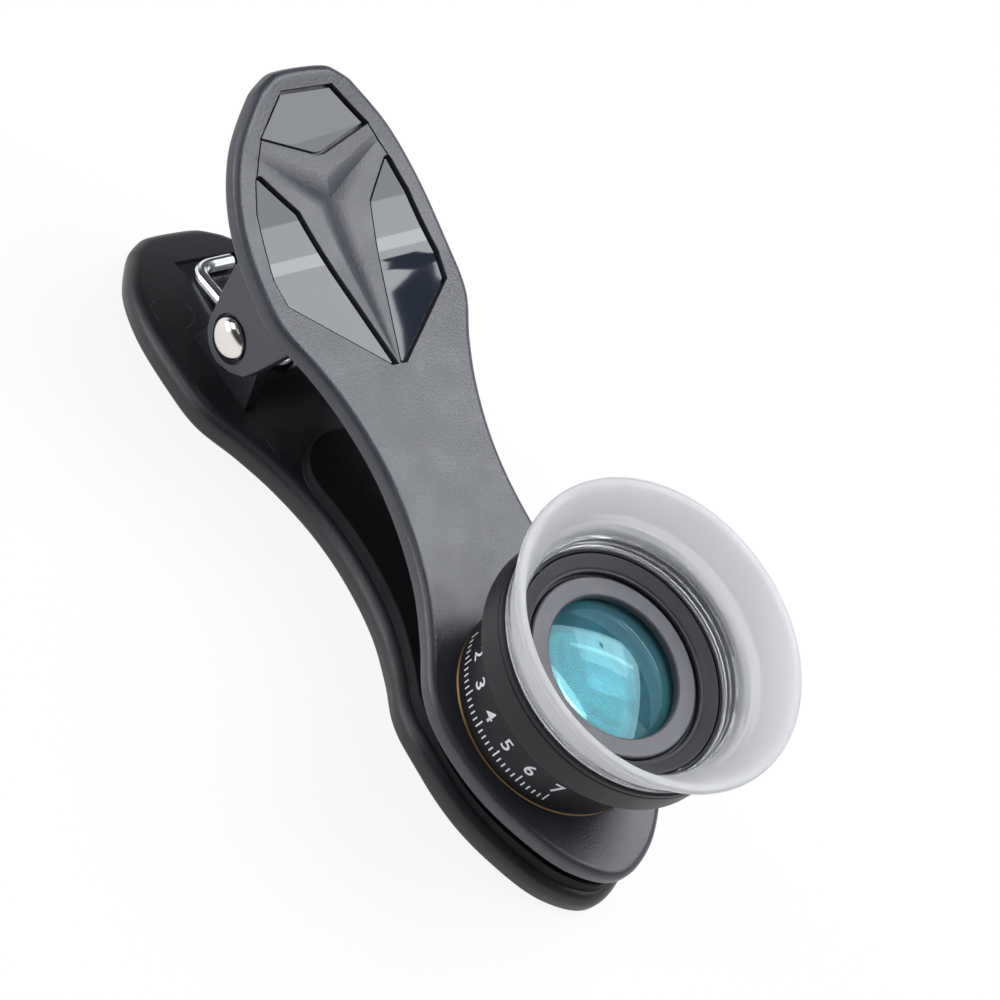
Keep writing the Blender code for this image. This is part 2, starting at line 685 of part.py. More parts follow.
spring_look = material("spring_zinc", STEEL, 0.25, 1.0)
add_object("torsion_spring", wire_mesh("torsion_spring", spring_path(), WIRE_RADIUS), rear_frame, spring_look)

# Lens mount and barrel
mount_profile = [
    (mount_radius - BREAK, MOUNT_FLANGE_TOP), (mount_radius, MOUNT_FLANGE_TOP - BREAK),
    (mount_radius, RUNNING_GAP), (tube_outer, RUNNING_GAP), (tube_outer, -MOUNT_TUBE_DEPTH),
    (tube_inner, -MOUNT_TUBE_DEPTH), (tube_inner, MOUNT_FLANGE_TOP),
]
turned("mount_ring", mount_profile, HIDDEN_STEPS, lens_frame, material("mount_brass", BRASS, 0.3, 1.0))

barrel_base = MOUNT_FLANGE_TOP + LENS_FIT
barrel_bore = BARREL_RADIUS - BARREL_WALL
middle_bore = barrel_bore - BARREL_LEDGE_WIDTH
shelf_bore = middle_bore - BARREL_SHELF_WIDTH
rear_bore = spigot_radius - BARREL_REAR_WALL
barrel_profile = [
    (BARREL_RADIUS - BREAK, BARREL_TOP), (BARREL_RADIUS, BARREL_TOP - BREAK), (BARREL_RADIUS, COLLAR_BOTTOM),
    (mount_radius, barrel_base + BREAK), (mount_radius - BREAK, barrel_base),
    (spigot_radius, barrel_base), (spigot_radius, SPIGOT_BOTTOM + BREAK), (spigot_radius - BREAK, SPIGOT_BOTTOM),
    (rear_bore, SPIGOT_BOTTOM), (rear_bore, BARREL_REAR_DEPTH),
    (shelf_bore, BARREL_REAR_DEPTH), (shelf_bore, BARREL_SHELF), (middle_bore, BARREL_SHELF),
    (middle_bore, BARREL_LEDGE), (barrel_bore, BARREL_LEDGE), (barrel_bore, BARREL_TOP),
]
barrel_look = material("barrel_black", LENS_BLACK, 0.35, 0.2)
turned("lens_barrel", barrel_profile, ROUND_STEPS, lens_frame, barrel_look)

collar_inner = BARREL_RADIUS + STATIC_GAP
collar_radius = BARREL_RADIUS + COLLAR_WALL
groove_inner = collar_inner + COLLAR_LIP
groove_outer = collar_radius - COLLAR_RIM
collar_line = COLLAR_TOP - COLLAR_LINE
collar_profile = [
    (groove_outer, COLLAR_TOP), (collar_radius - BREAK, COLLAR_TOP), (collar_radius, COLLAR_TOP - BREAK),
    (collar_radius, collar_line), (collar_radius - COLLAR_LINE_DEPTH, collar_line - COLLAR_LINE_DEPTH),
    (collar_radius, collar_line - 2 * COLLAR_LINE_DEPTH), (collar_radius - COLLAR_LINE_DEPTH, COLLAR_BOTTOM + 2 * BREAK),
    (collar_radius - 2 * BREAK, COLLAR_BOTTOM), (collar_inner, COLLAR_BOTTOM),
    (collar_inner, COLLAR_TOP - COLLAR_LIP_DROP), (groove_inner, COLLAR_TOP - COLLAR_LIP_DROP),
    (groove_inner, COLLAR_GROOVE_FLOOR), (groove_outer, COLLAR_GROOVE_FLOOR),
]
turned("barrel_collar", collar_profile, ROUND_STEPS, lens_frame, material("collar_black", LENS_BLACK, 0.4, 0.2))

face_bottom = BARREL_TOP + STATIC_GAP
face_inner = BARREL_RADIUS - FACE_RING_WIDTH
face_profile = [
    (BARREL_RADIUS - BREAK, FACE_RING_TOP), (BARREL_RADIUS, FACE_RING_TOP - BREAK), (BARREL_RADIUS, face_bottom),
    (face_inner, face_bottom), (face_inner, FACE_RING_TOP - FACE_RING_INNER_DROP),
]
turned("face_ring", face_profile, ROUND_STEPS, lens_frame, material("face_black", LENS_BLACK, 0.3, 0.1))

glass_radius = barrel_bore - LENS_FIT
retainer_inner = glass_radius - RETAINER_WIDTH
retainer_profile = [
    (glass_radius - BREAK, RETAINER_TOP), (glass_radius, RETAINER_TOP - BREAK),
    (glass_radius, RETAINER_BOTTOM), (retainer_inner + RETAINER_UNDERCUT, RETAINER_BOTTOM),
    (retainer_inner, RETAINER_BOTTOM + 2 * BREAK), (retainer_inner, RETAINER_TOP - BREAK),
    (retainer_inner + BREAK, RETAINER_TOP),
]
turned("retaining_ring", retainer_profile, ROUND_STEPS, lens_frame, material("retainer_grey", RING_GREY, 0.4, 0.4))


def dome_points(radius, edge, apex, steps):
    """Points of a shallow dome from its centre out to its edge."""
    return [(radius * t, apex + (edge - apex) * t * t) for t in np.linspace(0.0, 1.0, steps + 1)]


lens_top = RETAINER_BOTTOM - STATIC_GAP
lens_bottom = lens_top - FRONT_LENS_EDGE
glass_looks = {name: material(name, GLASS, 0.02, 0.0, 0.9) for name in ("coated_glass", "inner_glass", "rear_glass")}
front_lens = dome_points(retainer_inner + BREAK, lens_top, lens_top + FRONT_LENS_BULGE, 6)
front_lens += [
    (glass_radius - BREAK, lens_top), (glass_radius, lens_top - BREAK), (glass_radius, lens_bottom + BREAK),
    (glass_radius - BREAK, lens_bottom),
]
front_lens += dome_points(middle_bore - 2 * SPACER_STEP, lens_bottom, lens_bottom - FRONT_LENS_BACK_BULGE, 3)[::-1]
turned("front_lens", front_lens, ROUND_STEPS, lens_frame, glass_looks["coated_glass"], closed=False)

spacer_bottom = BARREL_LEDGE + RUNNING_GAP
spacer_top = lens_bottom - RUNNING_GAP
spacer_inner = middle_bore - SPACER_STEP
spacer_profile = [
    (glass_radius, spacer_top), (glass_radius, spacer_bottom),
    (spacer_inner, spacer_bottom), (spacer_inner, spacer_top),
]
spacer_look = material("spacer_black", LENS_BLACK, 0.6)
turned("spacer_ring", spacer_profile, HIDDEN_STEPS, lens_frame, spacer_look)

inner_radius = middle_bore - LENS_FIT
inner_bottom = BARREL_SHELF + STATIC_GAP
inner_top = BARREL_LEDGE - STATIC_GAP
inner_lens = dome_points(inner_radius - INNER_LENS_BEZEL, inner_top, inner_top + INNER_LENS_BULGE, 3)
inner_lens += [(inner_radius, inner_top), (inner_radius, inner_bottom), (0.0, inner_bottom)]
turned("inner_lens", inner_lens, HIDDEN_STEPS, lens_frame, glass_looks["inner_glass"], closed=False)

rear_radius = rear_bore - LENS_FIT
rear_top = BARREL_REAR_DEPTH - STATIC_GAP
rear_bottom = rear_top - REAR_LENS_LENGTH
rear_lens = [(0.0, rear_top), (rear_radius, rear_top), (rear_radius, rear_bottom)]
rear_lens += dome_points(rear_radius - REAR_LENS_BEZEL, rear_bottom, rear_bottom - REAR_LENS_BULGE, 3)[::-1]
turned("rear_lens", rear_lens, HIDDEN_STEPS, lens_frame, glass_looks["rear_glass"], closed=False)

rear_ring_top = rear_bottom - STATIC_GAP
rear_ring_inner = rear_radius - REAR_RING_WIDTH
rear_ring_profile = [
    (rear_radius, rear_ring_top), (rear_radius, rear_ring_top - REAR_RING_HEIGHT),
    (rear_ring_inner, rear_ring_top - REAR_RING_HEIGHT), (rear_ring_inner, rear_ring_top),
]
rear_ring_look = material("rear_ring_black", LENS_BLACK, 0.5, 0.3)
turned("rear_retaining_ring", rear_ring_profile, HIDDEN_STEPS, lens_frame, rear_ring_look)

# Hood: its spigot sits in the collar's groove
spigot_outer = groove_outer - STATIC_GAP
spigot_inner = groove_inner + STATIC_GAP
spigot_floor = COLLAR_GROOVE_FLOOR + STATIC_GAP
hood_seat = COLLAR_TOP + STATIC_GAP
hood_foot = collar_radius - HOOD_FOOT_STEP
hood_profile = [(HOOD_RIM_RADIUS + r, HOOD_RIM_TOP + z) for r, z in HOOD_LIP]
hood_profile += [
    (hood_foot + HOOD_FOOT_FLARE, hood_seat + HOOD_FOOT_HEIGHT + HOOD_FOOT_FLARE),
    (hood_foot, hood_seat + HOOD_FOOT_HEIGHT), (hood_foot, hood_seat), (spigot_outer, hood_seat),
    (spigot_outer, spigot_floor + HOOD_SPIGOT_TAPER), (spigot_outer - HOOD_SPIGOT_TAPER, spigot_floor),
    (spigot_inner + HOOD_SPIGOT_TAPER, spigot_floor), (spigot_inner, spigot_floor + HOOD_SPIGOT_TAPER),
    (spigot_inner, hood_seat), (spigot_inner + STATIC_GAP, hood_seat + HOOD_FOOT_HEIGHT),
]
hood_profile += [(HOOD_RIM_RADIUS + r, HOOD_RIM_TOP + z) for r, z in HOOD_LIP_INNER]
turned("diffuser_hood", hood_profile, ROUND_STEPS, lens_frame, material("hood_frost", HOOD_FROST, 0.35, 0.0, 0.6))


def world_points(made):
    graph = bpy.context.evaluated_depsgraph_get()
    shown = made.evaluated_get(graph)
    return [shown.matrix_world @ v.co for v in shown.data.vertices]


def set_down():
    """Tilts the clip so that both ends of the rear jaw's back touch the ground, and centres it."""
    for _ in range(4):
        bpy.context.view_layer.update()
        back = world_points(rear_jaw)
        nose = min((p for p in back if p.y < 0.0), key=lambda p: p.z)
        thumb = min((p for p in back if p.y > 0.0), key=lambda p: p.z)
        rear_frame.rotation_euler.x -= math.atan2(thumb.z - nose.z, thumb.y - nose.y)
    bpy.context.view_layer.update()
    everything = [p for made in part_collection.objects if made.type == "MESH" for p in world_points(made)]
    for axis, share in ((0, 0.5), (1, 0.5), (2, 0.0)):
        low = min(p[axis] for p in everything)
        high = max(p[axis] for p in everything)
        root.location[axis] -= low + (high - low) * share
    bpy.context.view_layer.update()


set_down()
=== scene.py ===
"""The clip-on lens in a plain studio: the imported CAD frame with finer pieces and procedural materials.

Sizes are in millimetres and become metres where each mesh is made. The jaws are drawn in their own
frames, with x across, s along from the pivot (+ to the thumb end) and h out from the reference face.
The lens is drawn about its own axis, with z = 0 on the front jaw's face.
"""

import json
import math

import bmesh
import bpy
import numpy as np
from mathutils import Matrix, Vector


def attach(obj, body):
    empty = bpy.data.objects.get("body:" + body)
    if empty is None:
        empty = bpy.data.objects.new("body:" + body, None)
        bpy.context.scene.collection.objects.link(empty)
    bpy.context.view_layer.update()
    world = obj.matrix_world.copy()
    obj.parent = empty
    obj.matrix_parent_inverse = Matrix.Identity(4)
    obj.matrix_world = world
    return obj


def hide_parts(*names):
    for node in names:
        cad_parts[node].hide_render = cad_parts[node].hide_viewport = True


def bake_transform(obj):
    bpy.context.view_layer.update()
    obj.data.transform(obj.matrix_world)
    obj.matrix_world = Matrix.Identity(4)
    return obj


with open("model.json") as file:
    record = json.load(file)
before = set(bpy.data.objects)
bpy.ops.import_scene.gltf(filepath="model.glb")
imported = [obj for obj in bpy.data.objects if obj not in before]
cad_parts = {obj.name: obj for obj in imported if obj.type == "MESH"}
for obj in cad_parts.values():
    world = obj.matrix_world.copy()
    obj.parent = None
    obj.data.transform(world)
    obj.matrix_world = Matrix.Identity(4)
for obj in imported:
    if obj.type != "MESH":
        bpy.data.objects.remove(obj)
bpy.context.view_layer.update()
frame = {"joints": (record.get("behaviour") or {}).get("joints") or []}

MM = 0.001

# Sizes shared with the CAD source
JAW_OUTLINE = [
    (0.0, 20.75), (2.9, 20.6), (3.6, 20.4), (5.6, 19.15), (6.3, 18.4), (9.4, 14.1), (11.45, 8.2), (12.1, 1.1),
    (11.75, -3.5), (9.75, -8.1), (8.25, -12.5), (7.2, -18.2), (7.15, -24.0), (8.2, -30.6),
    (10.1, -35.8), (12.2, -40.4), (12.7, -44.2), (11.35, -50.3), (8.6, -55.5), (4.6, -60.2),
    (0.0, -62.2),
]
PIVOT_TO_LENS = 45.4
FRONT_THICK = 2.3
FACE_ABOVE_PIVOT = 10.4
CROWN = (0.0, 30.0, 30.0 / 48.0)
REAR_THICK = 2.7
PIVOT_ABOVE_BACK = 8.5
REAR_CROWN = (0.0, 30.0, -30.0 / 90.0)
NOSE_BEND = (42.5, 46.5, -math.radians(18.5))
REAR_THUMB_LENGTH = 0.96
OPEN_ANGLE = math.radians(15.7)
EAR_OUTER = 9.3
FRONT_EAR_THICK = 1.5
REAR_EAR_OUTER = 7.5
REAR_EAR_THICK = 1.3
EAR_ROOT = 0.9
PAD_END = -9.2
PAD_INSET = 1.1
PAD_PLANE = -3.3
INLAY_SINK = 0.3
INLAY_THICK = 0.4
TOP_INLAY_ROWS = [(0.4, 12.6), (6.2, 14.7), (3.0, 18.5)]
SIDE_INLAY_INNER = [(0.5, -9.0), (4.6, 7.1), (7.75, 10.9)]
SIDE_INLAY_OUTER = [(0.8, -9.0), (9.55, -1.6), (9.9, 1.1), (9.1, 7.6), (8.05, 10.9)]
WIRE_RADIUS = 0.74
COIL_RADIUS = 3.6
COIL_TURNS = 5
COIL_PITCH = 1.36
FOOT_ALONG = 13.7
FOOT_POCKET_DEPTH = 0.5
PIN_HOLE_RADIUS = 1.55
CUT_REACH = 11.0
COUNTERBORE_RADIUS = 2.5
COUNTERBORE_DEPTH = 0.5
RIVET_HEAD_RADIUS = 2.2
RIVET_SHANK_RADIUS = 1.5
RIVET_DOME = 1.6

# Lens sizes, with heights from the front jaw's face
NOSE_HOLE_RADIUS = 8.1
LIGHT_WAY_RADIUS = 7.3
MOUNT_RADIUS = 10.6
MOUNT_TUBE_RADIUS = 8.0
MOUNT_BORE_RADIUS = 7.0
MOUNT_TUBE_END = -1.65
BARREL_FOOT_RADIUS = 10.6
BARREL_FOOT = 0.65
BARREL_RADIUS = 11.0
BARREL_TOP = 9.9
THREAD_RADIUS = 6.9
THREAD_END = -2.6
GLASS_RADIUS = 9.0
INNER_GLASS_RADIUS = 7.5
REAR_GLASS_RADIUS = 5.8
COLLAR_RADIUS = 13.6
COLLAR_FOOT = 8.6
COLLAR_TOP = 12.6
HOOD_PLUG_RADIUS = 12.95

# How finely the pieces are drawn
POINTS_PER_SPAN = 10
EDGE_STEPS = 9
ROUND_STEPS = 144
SMOOTH_BELOW = math.radians(16.0)

joints = {joint["name"]: joint for joint in frame["joints"]}
pivot = Vector(joints["jaw_pivot"]["pos_m"])
lens_axis = Vector(joints["lens_unscrew"]["axis"])
front_tilt = math.atan2(-lens_axis.y, lens_axis.z)
front_frame = Matrix.Translation(pivot) @ Matrix.Rotation(front_tilt, 4, "X")
rear_frame = Matrix.Translation(pivot) @ Matrix.Rotation(front_tilt - OPEN_ANGLE, 4, "X")
lens_frame = front_frame @ Matrix.Translation(Vector((0.0, -PIVOT_TO_LENS, FACE_ABOVE_PIVOT)) * MM)
across_x = Matrix.Rotation(math.pi / 2, 4, "Y")


# Materials

def add_node(tree, kind, place, **inputs):
    made = tree.nodes.new(kind)
    made.location = place
    for name, value in inputs.items():
        made.inputs[name.replace("_", " ")].default_value = value
    return made


def material(name, colour, roughness, grain=2500.0, depth=0.004, mottle=0.12, uneven=0.06, **sockets):
    """A Principled material with a fine surface grain, uneven gloss and a slight change of colour."""
    made = bpy.data.materials.new(f"{name}_look")
    made.use_nodes = True
    tree = made.node_tree
    shader = tree.nodes["Principled BSDF"]
    for socket, value in sockets.items():
        shader.inputs[socket.replace("_", " ")].default_value = value
    place = add_node(tree, "ShaderNodeTexCoord", (-1100, 0))
    fine = add_node(tree, "ShaderNodeTexNoise", (-850, -250), Scale=grain, Detail=3.0)
    broad = add_node(tree, "ShaderNodeTexNoise", (-850, 150), Scale=grain / 14.0, Detail=4.0)
    tree.links.new(place.outputs["Object"], fine.inputs["Vector"])
    tree.links.new(place.outputs["Object"], broad.inputs["Vector"])
    tint = tree.nodes.new("ShaderNodeMix")
    tint.data_type = "RGBA"
    tint.location = (-500, 200)
    tint.inputs["A"].default_value = (*[c * (1.0 - mottle) for c in colour], 1.0)
    tint.inputs["B"].default_value = (*[min(c * (1.0 + mottle), 1.0) for c in colour], 1.0)
    tree.links.new(broad.outputs["Fac"], tint.inputs["Factor"])
    tree.links.new(tint.outputs["Result"], shader.inputs["Base Color"])
    gloss = add_node(
        tree, "ShaderNodeMapRange", (-500, -50),
        From_Min=0.3, From_Max=0.7, To_Min=max(roughness - uneven, 0.0), To_Max=roughness + uneven,
    )
    tree.links.new(broad.outputs["Fac"], gloss.inputs["Value"])
    tree.links.new(gloss.outputs["Result"], shader.inputs["Roughness"])
    bump = add_node(tree, "ShaderNodeBump", (-500, -300), Strength=1.0, Distance=depth * MM)
    tree.links.new(fine.outputs["Fac"], bump.inputs["Height"])
    tree.links.new(bump.outputs["Normal"], shader.inputs["Normal"])
    return made


jaw_look = material(
    "jaw_plastic", (0.036, 0.038, 0.050), 0.36, grain=4200.0, depth=0.034, uneven=0.04,
    Specular_IOR_Level=0.62,
)
rear_look = material(
    "rear_jaw_plastic", (0.013, 0.0135, 0.017), 0.40, grain=4200.0, depth=0.024, uneven=0.03,
)
pad_look = material(
    "pad_rubber", (0.003, 0.0035, 0.005), 0.6, grain=6000.0, depth=0.010, Specular_IOR_Level=0.2,
)
inlay_look = material(
    "inlay_gloss", (0.016, 0.019, 0.030), 0.02, grain=260.0, depth=0.0004, uneven=0.008,
)
steel_look = material("rivet_steel", (0.78, 0.75, 0.72), 0.12, grain=1200.0, depth=0.003, Metallic=1.0)
spring_look = material("spring_zinc", (0.80, 0.82, 0.84), 0.2, grain=1500.0, depth=0.006, Metallic=1.0)
brass_look = material("mount_brass", (0.20, 0.13, 0.07), 0.4, grain=3000.0, depth=0.002, Metallic=1.0)
barrel_look = material(
    "barrel_black", (0.014, 0.014, 0.017), 0.42, grain=5000.0, depth=0.012, uneven=0.03,
    Specular_IOR_Level=0.2,
)
collar_look = material(
    "collar_black", (0.018, 0.018, 0.021), 0.42, grain=5000.0, depth=0.012, uneven=0.03,
    Specular_IOR_Level=0.2,
)
face_look = material("face_black", (0.040, 0.041, 0.048), 0.46, grain=5000.0, depth=0.016, uneven=0.03)
retainer_look = material("retainer_grey", (0.080, 0.081, 0.095), 0.46, grain=5000.0, depth=0.022)
spacer_look = material("spacer_black", (0.01, 0.01, 0.012), 0.6, grain=5000.0, depth=0.006)
marks_look = material("scale_paint", (0.78, 0.78, 0.80), 0.5, grain=9000.0, depth=0.004)
hood_look = material(
    "hood_frost", (0.84, 0.835, 0.86), 0.45, grain=3200.0, depth=0.004, mottle=0.01,
    Subsurface_Weight=0.6, Subsurface_Scale=0.004, Subsurface_Radius=(1.0, 1.0, 1.0),
    Transmission_Weight=0.55, Specular_IOR_Level=0.1,
)
clear_look = material(
    "hood_clear", (0.90, 0.91, 0.94), 0.06, grain=900.0, depth=0.0, mottle=0.01, uneven=0.02,
    Transmission_Weight=0.86, IOR=1.49,
)
glass_look = material(
    "coated_glass", (0.20, 0.56, 0.66), 0.0, grain=200.0, depth=0.0, mottle=0.02, uneven=0.0,
    Transmission_Weight=0.88, IOR=1.55, Specular_Tint=(0.45, 0.92, 1.0, 1.0),
)
inner_glass_look = material(
    "inner_glass", (0.45, 0.90, 0.85), 0.0, grain=200.0, depth=0.0, mottle=0.02, uneven=0.0,
    Transmission_Weight=0.95, IOR=1.6, Specular_Tint=(0.35, 1.0, 0.8, 1.0),
)


# Shape functions

def mesh_of(name, points, faces):
    """A closed mesh in metres from points in millimetres, with its faces turned outwards."""
    shape = bmesh.new()
    verts = [shape.verts.new(Vector(point) * MM) for point in points]
    for face in faces:
        shape.faces.new([verts[i] for i in face])
    bmesh.ops.recalc_face_normals(shape, faces=shape.faces)
    mesh = bpy.data.meshes.new(name)
    shape.to_mesh(mesh)
    shape.free()
    return mesh


def add_object(name, mesh, matrix):
    made = bpy.data.objects.new(name, mesh)
    made.matrix_world = matrix
    bpy.context.scene.collection.objects.link(made)
    return made


def finished(made, look, body, *nodes, slot=None):
    """Applies a piece's modifiers and place, smooths its shallow edges and hands it to the frame."""
    bpy.context.view_layer.update()
    tools = [m.object for m in made.modifiers if m.type == "BOOLEAN"]
    graph = bpy.context.evaluated_depsgraph_get()
    mesh = bpy.data.meshes.new_from_object(made.evaluated_get(graph))
    made.modifiers.clear()
    mesh.transform(made.matrix_world)
    made.matrix_world = Matrix()
    made.data = mesh
    mesh.name = made.name
    for tool in tools:
        bpy.data.objects.remove(tool)
    mesh.materials.clear()
    mesh.materials.append(look)
    mesh.shade_smooth()
    mesh.set_sharp_from_angle(angle=SMOOTH_BELOW)
    made.modifiers.new("even_shading", "WEIGHTED_NORMAL").keep_sharp = True
    if body:
        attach(made, body)
    if nodes:
        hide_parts(*nodes)
    return made


def carve(target, tool, operation="DIFFERENCE"):
    cut = target.modifiers.new(operation.lower(), "BOOLEAN")
    cut.operation = operation
    cut.solver = "EXACT"
    cut.object = tool


def rounded(made, width, segments=3, angle=30.0):
    bevel = made.modifiers.new("round_edges", "BEVEL")
    bevel.width = width * MM
    bevel.segments = segments
    bevel.limit_method = "ANGLE"
    bevel.angle_limit = math.radians(angle)


def smooth_curve(controls, per_span):
    """A centripetal Catmull-Rom line through half-outline points whose ends lie on the mid line."""
    pts = [Vector((-controls[1][0], controls[1][1]))]
    pts += [Vector(point) for point in controls]
    pts.append(Vector((-controls[-2][0], controls[-2][1])))
    line = []
    for i in range(1, len(pts) - 2):
        a, b, c, d = pts[i - 1:i + 3]
        t1 = math.sqrt((b - a).length)
        t2 = t1 + math.sqrt((c - b).length)
        t3 = t2 + math.sqrt((d - c).length)
        for step in range(per_span):
            t = t1 + (t2 - t1) * step / per_span
            ab = a.lerp(b, t / t1)
            bc = b.lerp(c, (t - t1) / (t2 - t1))
            cd = c.lerp(d, (t - t2) / (t3 - t2))
            left = ab.lerp(bc, t / t2)
            right = bc.lerp(cd, (t - t1) / (t3 - t1))
            line.append(left.lerp(right, (t - t1) / (t2 - t1)))
    line.append(pts[-2])
    return line


def inset(half, distance):
    """A half outline moved inwards, its ends kept on the mid line."""
    moved = []
    for i, point in enumerate(half):
        before = half[i - 1] if i else Vector((-half[1].x, half[1].y))
        after = half[i + 1] if i + 1 < len(half) else Vector((-half[-2].x, half[-2].y))
        along = (after - before).normalized()
        moved.append(point - Vector((-along.y, along.x)) * distance)
    moved[0].x = 0.0
    moved[-1].x = 0.0
    return moved


def station(s, thumb_bend, nose_bend):
    """Where length s along a jaw comes to (y, z), and the jaw's slope there."""
    side, (start, end, turn) = (1.0, thumb_bend) if s >= 0 else (-1.0, nose_bend)
    length = abs(s)
    if not turn:
        return side * length, 0.0, 0.0
    straight = min(length, start)
    curved = min(max(length - start, 0.0), end - start)
    rest = max(length - end, 0.0)
    radius = (end - start) / turn
    angle = curved / radius
    y = straight + radius * math.sin(angle) + rest * math.cos(angle)
    z = radius * (1.0 - math.cos(angle)) + rest * math.sin(angle)
    return side * y, z, side * angle


def front_point(x, s, h):
    y, z, slope = station(s, CROWN, (1.0, 2.0, 0.0))
    return (x, y - h * math.sin(slope), FACE_ABOVE_PIVOT + z + h * math.cos(slope))


def rear_point(x, s, h):
    y, z, slope = station(s, REAR_CROWN, NOSE_BEND)
    return (x, y - h * math.sin(slope), z - PIVOT_ABOVE_BACK + h * math.cos(slope))


def rear_pad_point(x, s, h):
    """A rear pad point, its top held down to the plane where the two pads meet."""
    x, y, z = rear_point(x, s, h)
    turn = Matrix.Rotation(-OPEN_ANGLE, 3, "X")
    spot = turn @ Vector((x, y, z))
    spot.z = min(spot.z, FACE_ABOVE_PIVOT + PAD_PLANE)
    return tuple(turn.inverted() @ spot)


def edge_rings(top, bottom, top_round, bottom_round):
    """(inset, height) pairs from the top face's border, over a rounded edge, to the bottom's."""
    turns = [math.pi / 2 * step / EDGE_STEPS for step in range(EDGE_STEPS + 1)]
    rings = [(top_round * (1 - math.sin(a)), top - top_round * (1 - math.cos(a))) for a in turns]
    rings += [
        (bottom_round * (1 - math.cos(a)), bottom + bottom_round * (1 - math.sin(a))) for a in turns
    ]
    return rings


def slab(name, half, rings, place):
    """A plate lofted through inset copies of a half outline; place turns (x, s, h) into a point."""
    points = []
    count = len(half)
    for distance, height in rings:
        side = inset(half, distance)
        points += [place(p.x, p.y, height) for p in side]
        points += [place(-p.x, p.y, height) for p in side[count - 2:0:-1]]
    loop = 2 * count - 2
    faces = []
    for ring in range(len(rings) - 1):
        for i in range(loop):
            j = (i + 1) % loop
            first, second = ring * loop, (ring + 1) * loop
            faces.append((first + i, first + j, second + j, second + i))
    for base in (0, (len(rings) - 1) * loop):
        faces.append((base, base + 1, base + loop - 1))
        for i in range(1, count - 2):
            faces.append((base + i, base + i + 1, base + loop - i - 1, base + loop - i))
        faces.append((base + count - 2, base + count - 1, base + count))
    return mesh_of(name, points, faces)


def loft(name, sections):
    """A closed solid through sections that have the same number of corners."""
    count = len(sections[0])
    points = [point for section in sections for point in section]
    faces = [tuple(range(count)), tuple(range(len(points) - count, len(points)))]
    for first in range(0, len(points) - count, count):
        for i in range(count):
            j = (i + 1) % count
            faces.append((first + i, first + j, first + count + j, first + count + i))
    return mesh_of(name, points, faces)


def strip(name, rows, top, bottom, place):
    """A thin plate between two edges: rows of (s, x low, x high)."""
    return loft(name, [
        [place(low, s, top), place(high, s, top), place(high, s, bottom), place(low, s, bottom)]
        for s, low, high in rows
    ])


def grown(loop, distance):
    """A clockwise loop of points moved outwards with mitred corners."""
    moved = []
    for i, point in enumerate(loop):
        before = (point - loop[i - 1]).normalized()
        after = (loop[(i + 1) % len(loop)] - point).normalized()
        out_a, out_b = Vector((-before.y, before.x)), Vector((-after.y, after.x))
        moved.append(point + (out_a + out_b) * (distance / max(1.0 + out_a.dot(out_b), 0.35)))
    return moved


def flared(name, rows, profile, place):
    """A cutter over rows of (s, x low, x high) that widens by profile's (growth, height) pairs."""
    count = len(rows)
    loop = [Vector((low, s)) for s, low, _ in rows]
    loop += [Vector((high, s)) for s, _, high in reversed(rows)]
    points = [place(spot.x, spot.y, h) for grow, h in profile for spot in grown(loop, grow)]
    faces = []
    for ring in range(len(profile) - 1):
        first, second = ring * 2 * count, (ring + 1) * 2 * count
        for i in range(2 * count):
            j = (i + 1) % (2 * count)
            faces.append((first + i, first + j, second + j, second + i))
    for base in (0, (len(profile) - 1) * 2 * count):
        for i in range(count - 1):
            other = 2 * count - 1 - i
            faces.append((base + i, base + i + 1, base + other - 1, base + other))
    return mesh_of(name, points, faces)


def plate(name, outline, low, high):
    """A flat plate across x from an outline of (y, z) points."""
    return loft(name, [[(x, y, z) for y, z in outline] for x in (low, high)])


def turned(name, profile, matrix, steps=ROUND_STEPS, closed=True):
    """A solid of revolution about z from (radius, height) points listed round its section."""
    axis = [i for i, (r, _) in enumerate(profile) if r <= 0.0]
    points = []
    index = []
    for r, z in profile:
        if r <= 0.0:
            index.append([len(points)] * steps)
            points.append((0.0, 0.0, z))
        else:
            index.append(list(range(len(points), len(points) + steps)))
            points += [(r * math.cos(a), r * math.sin(a), z) for a in
                       (2 * math.pi * k / steps for k in range(steps))]
    faces = []
    rows = len(profile) if closed and not axis else len(profile) - 1
    for i in range(rows):
        first, second = index[i], index[(i + 1) % len(profile)]
        for k in range(steps):
            m = (k + 1) % steps
            corners = [first[k], first[m], second[m], second[k]]
            faces.append(tuple(dict.fromkeys(corners)))
    return add_object(name, mesh_of(name, points, faces), matrix)


def softened(profile, radius=0.08, steps=3):
    """A closed profile with each corner turned on a short arc."""
    line = []
    count = len(profile)
    for i, corner in enumerate(profile):
        here = Vector(corner)
        before = Vector(profile[i - 1]) - here
        after = Vector(profile[(i + 1) % count]) - here
        if corner[0] <= 0.0 or min(before.length, after.length) < 1e-6:
            line.append(corner)
            continue
        if abs(before.normalized().dot(after.normalized())) > 0.995:
            line.append(corner)
            continue
        start = here + before.normalized() * min(radius, before.length * 0.45)
        end = here + after.normalized() * min(radius, after.length * 0.45)
        for k in range(steps + 1):
            t = k / steps
            line.append(tuple(start.lerp(here, t).lerp(here.lerp(end, t), t)))
    return line


def arc(radius, start_deg, end_deg, steps=28):
    """Points (y, z) on a circle about the pivot."""
    turn = math.radians(end_deg - start_deg) / steps
    start = math.radians(start_deg)
    angles = [start + turn * i for i in range(steps + 1)]
    return [(radius * math.cos(angle), radius * math.sin(angle)) for angle in angles]


def pivot_cutter(name, radius, low, high, matrix):
    """A cylinder on the pivot between two x positions."""
    profile = [(0.0, high), (radius, high), (radius, low), (0.0, low)]
    return turned(name, profile, matrix @ across_x, 64, closed=False)


def line_at(line, s):
    """The half width of a row list at distance s."""
    return float(np.interp(s, [p[1] for p in line], [p[0] for p in line]))


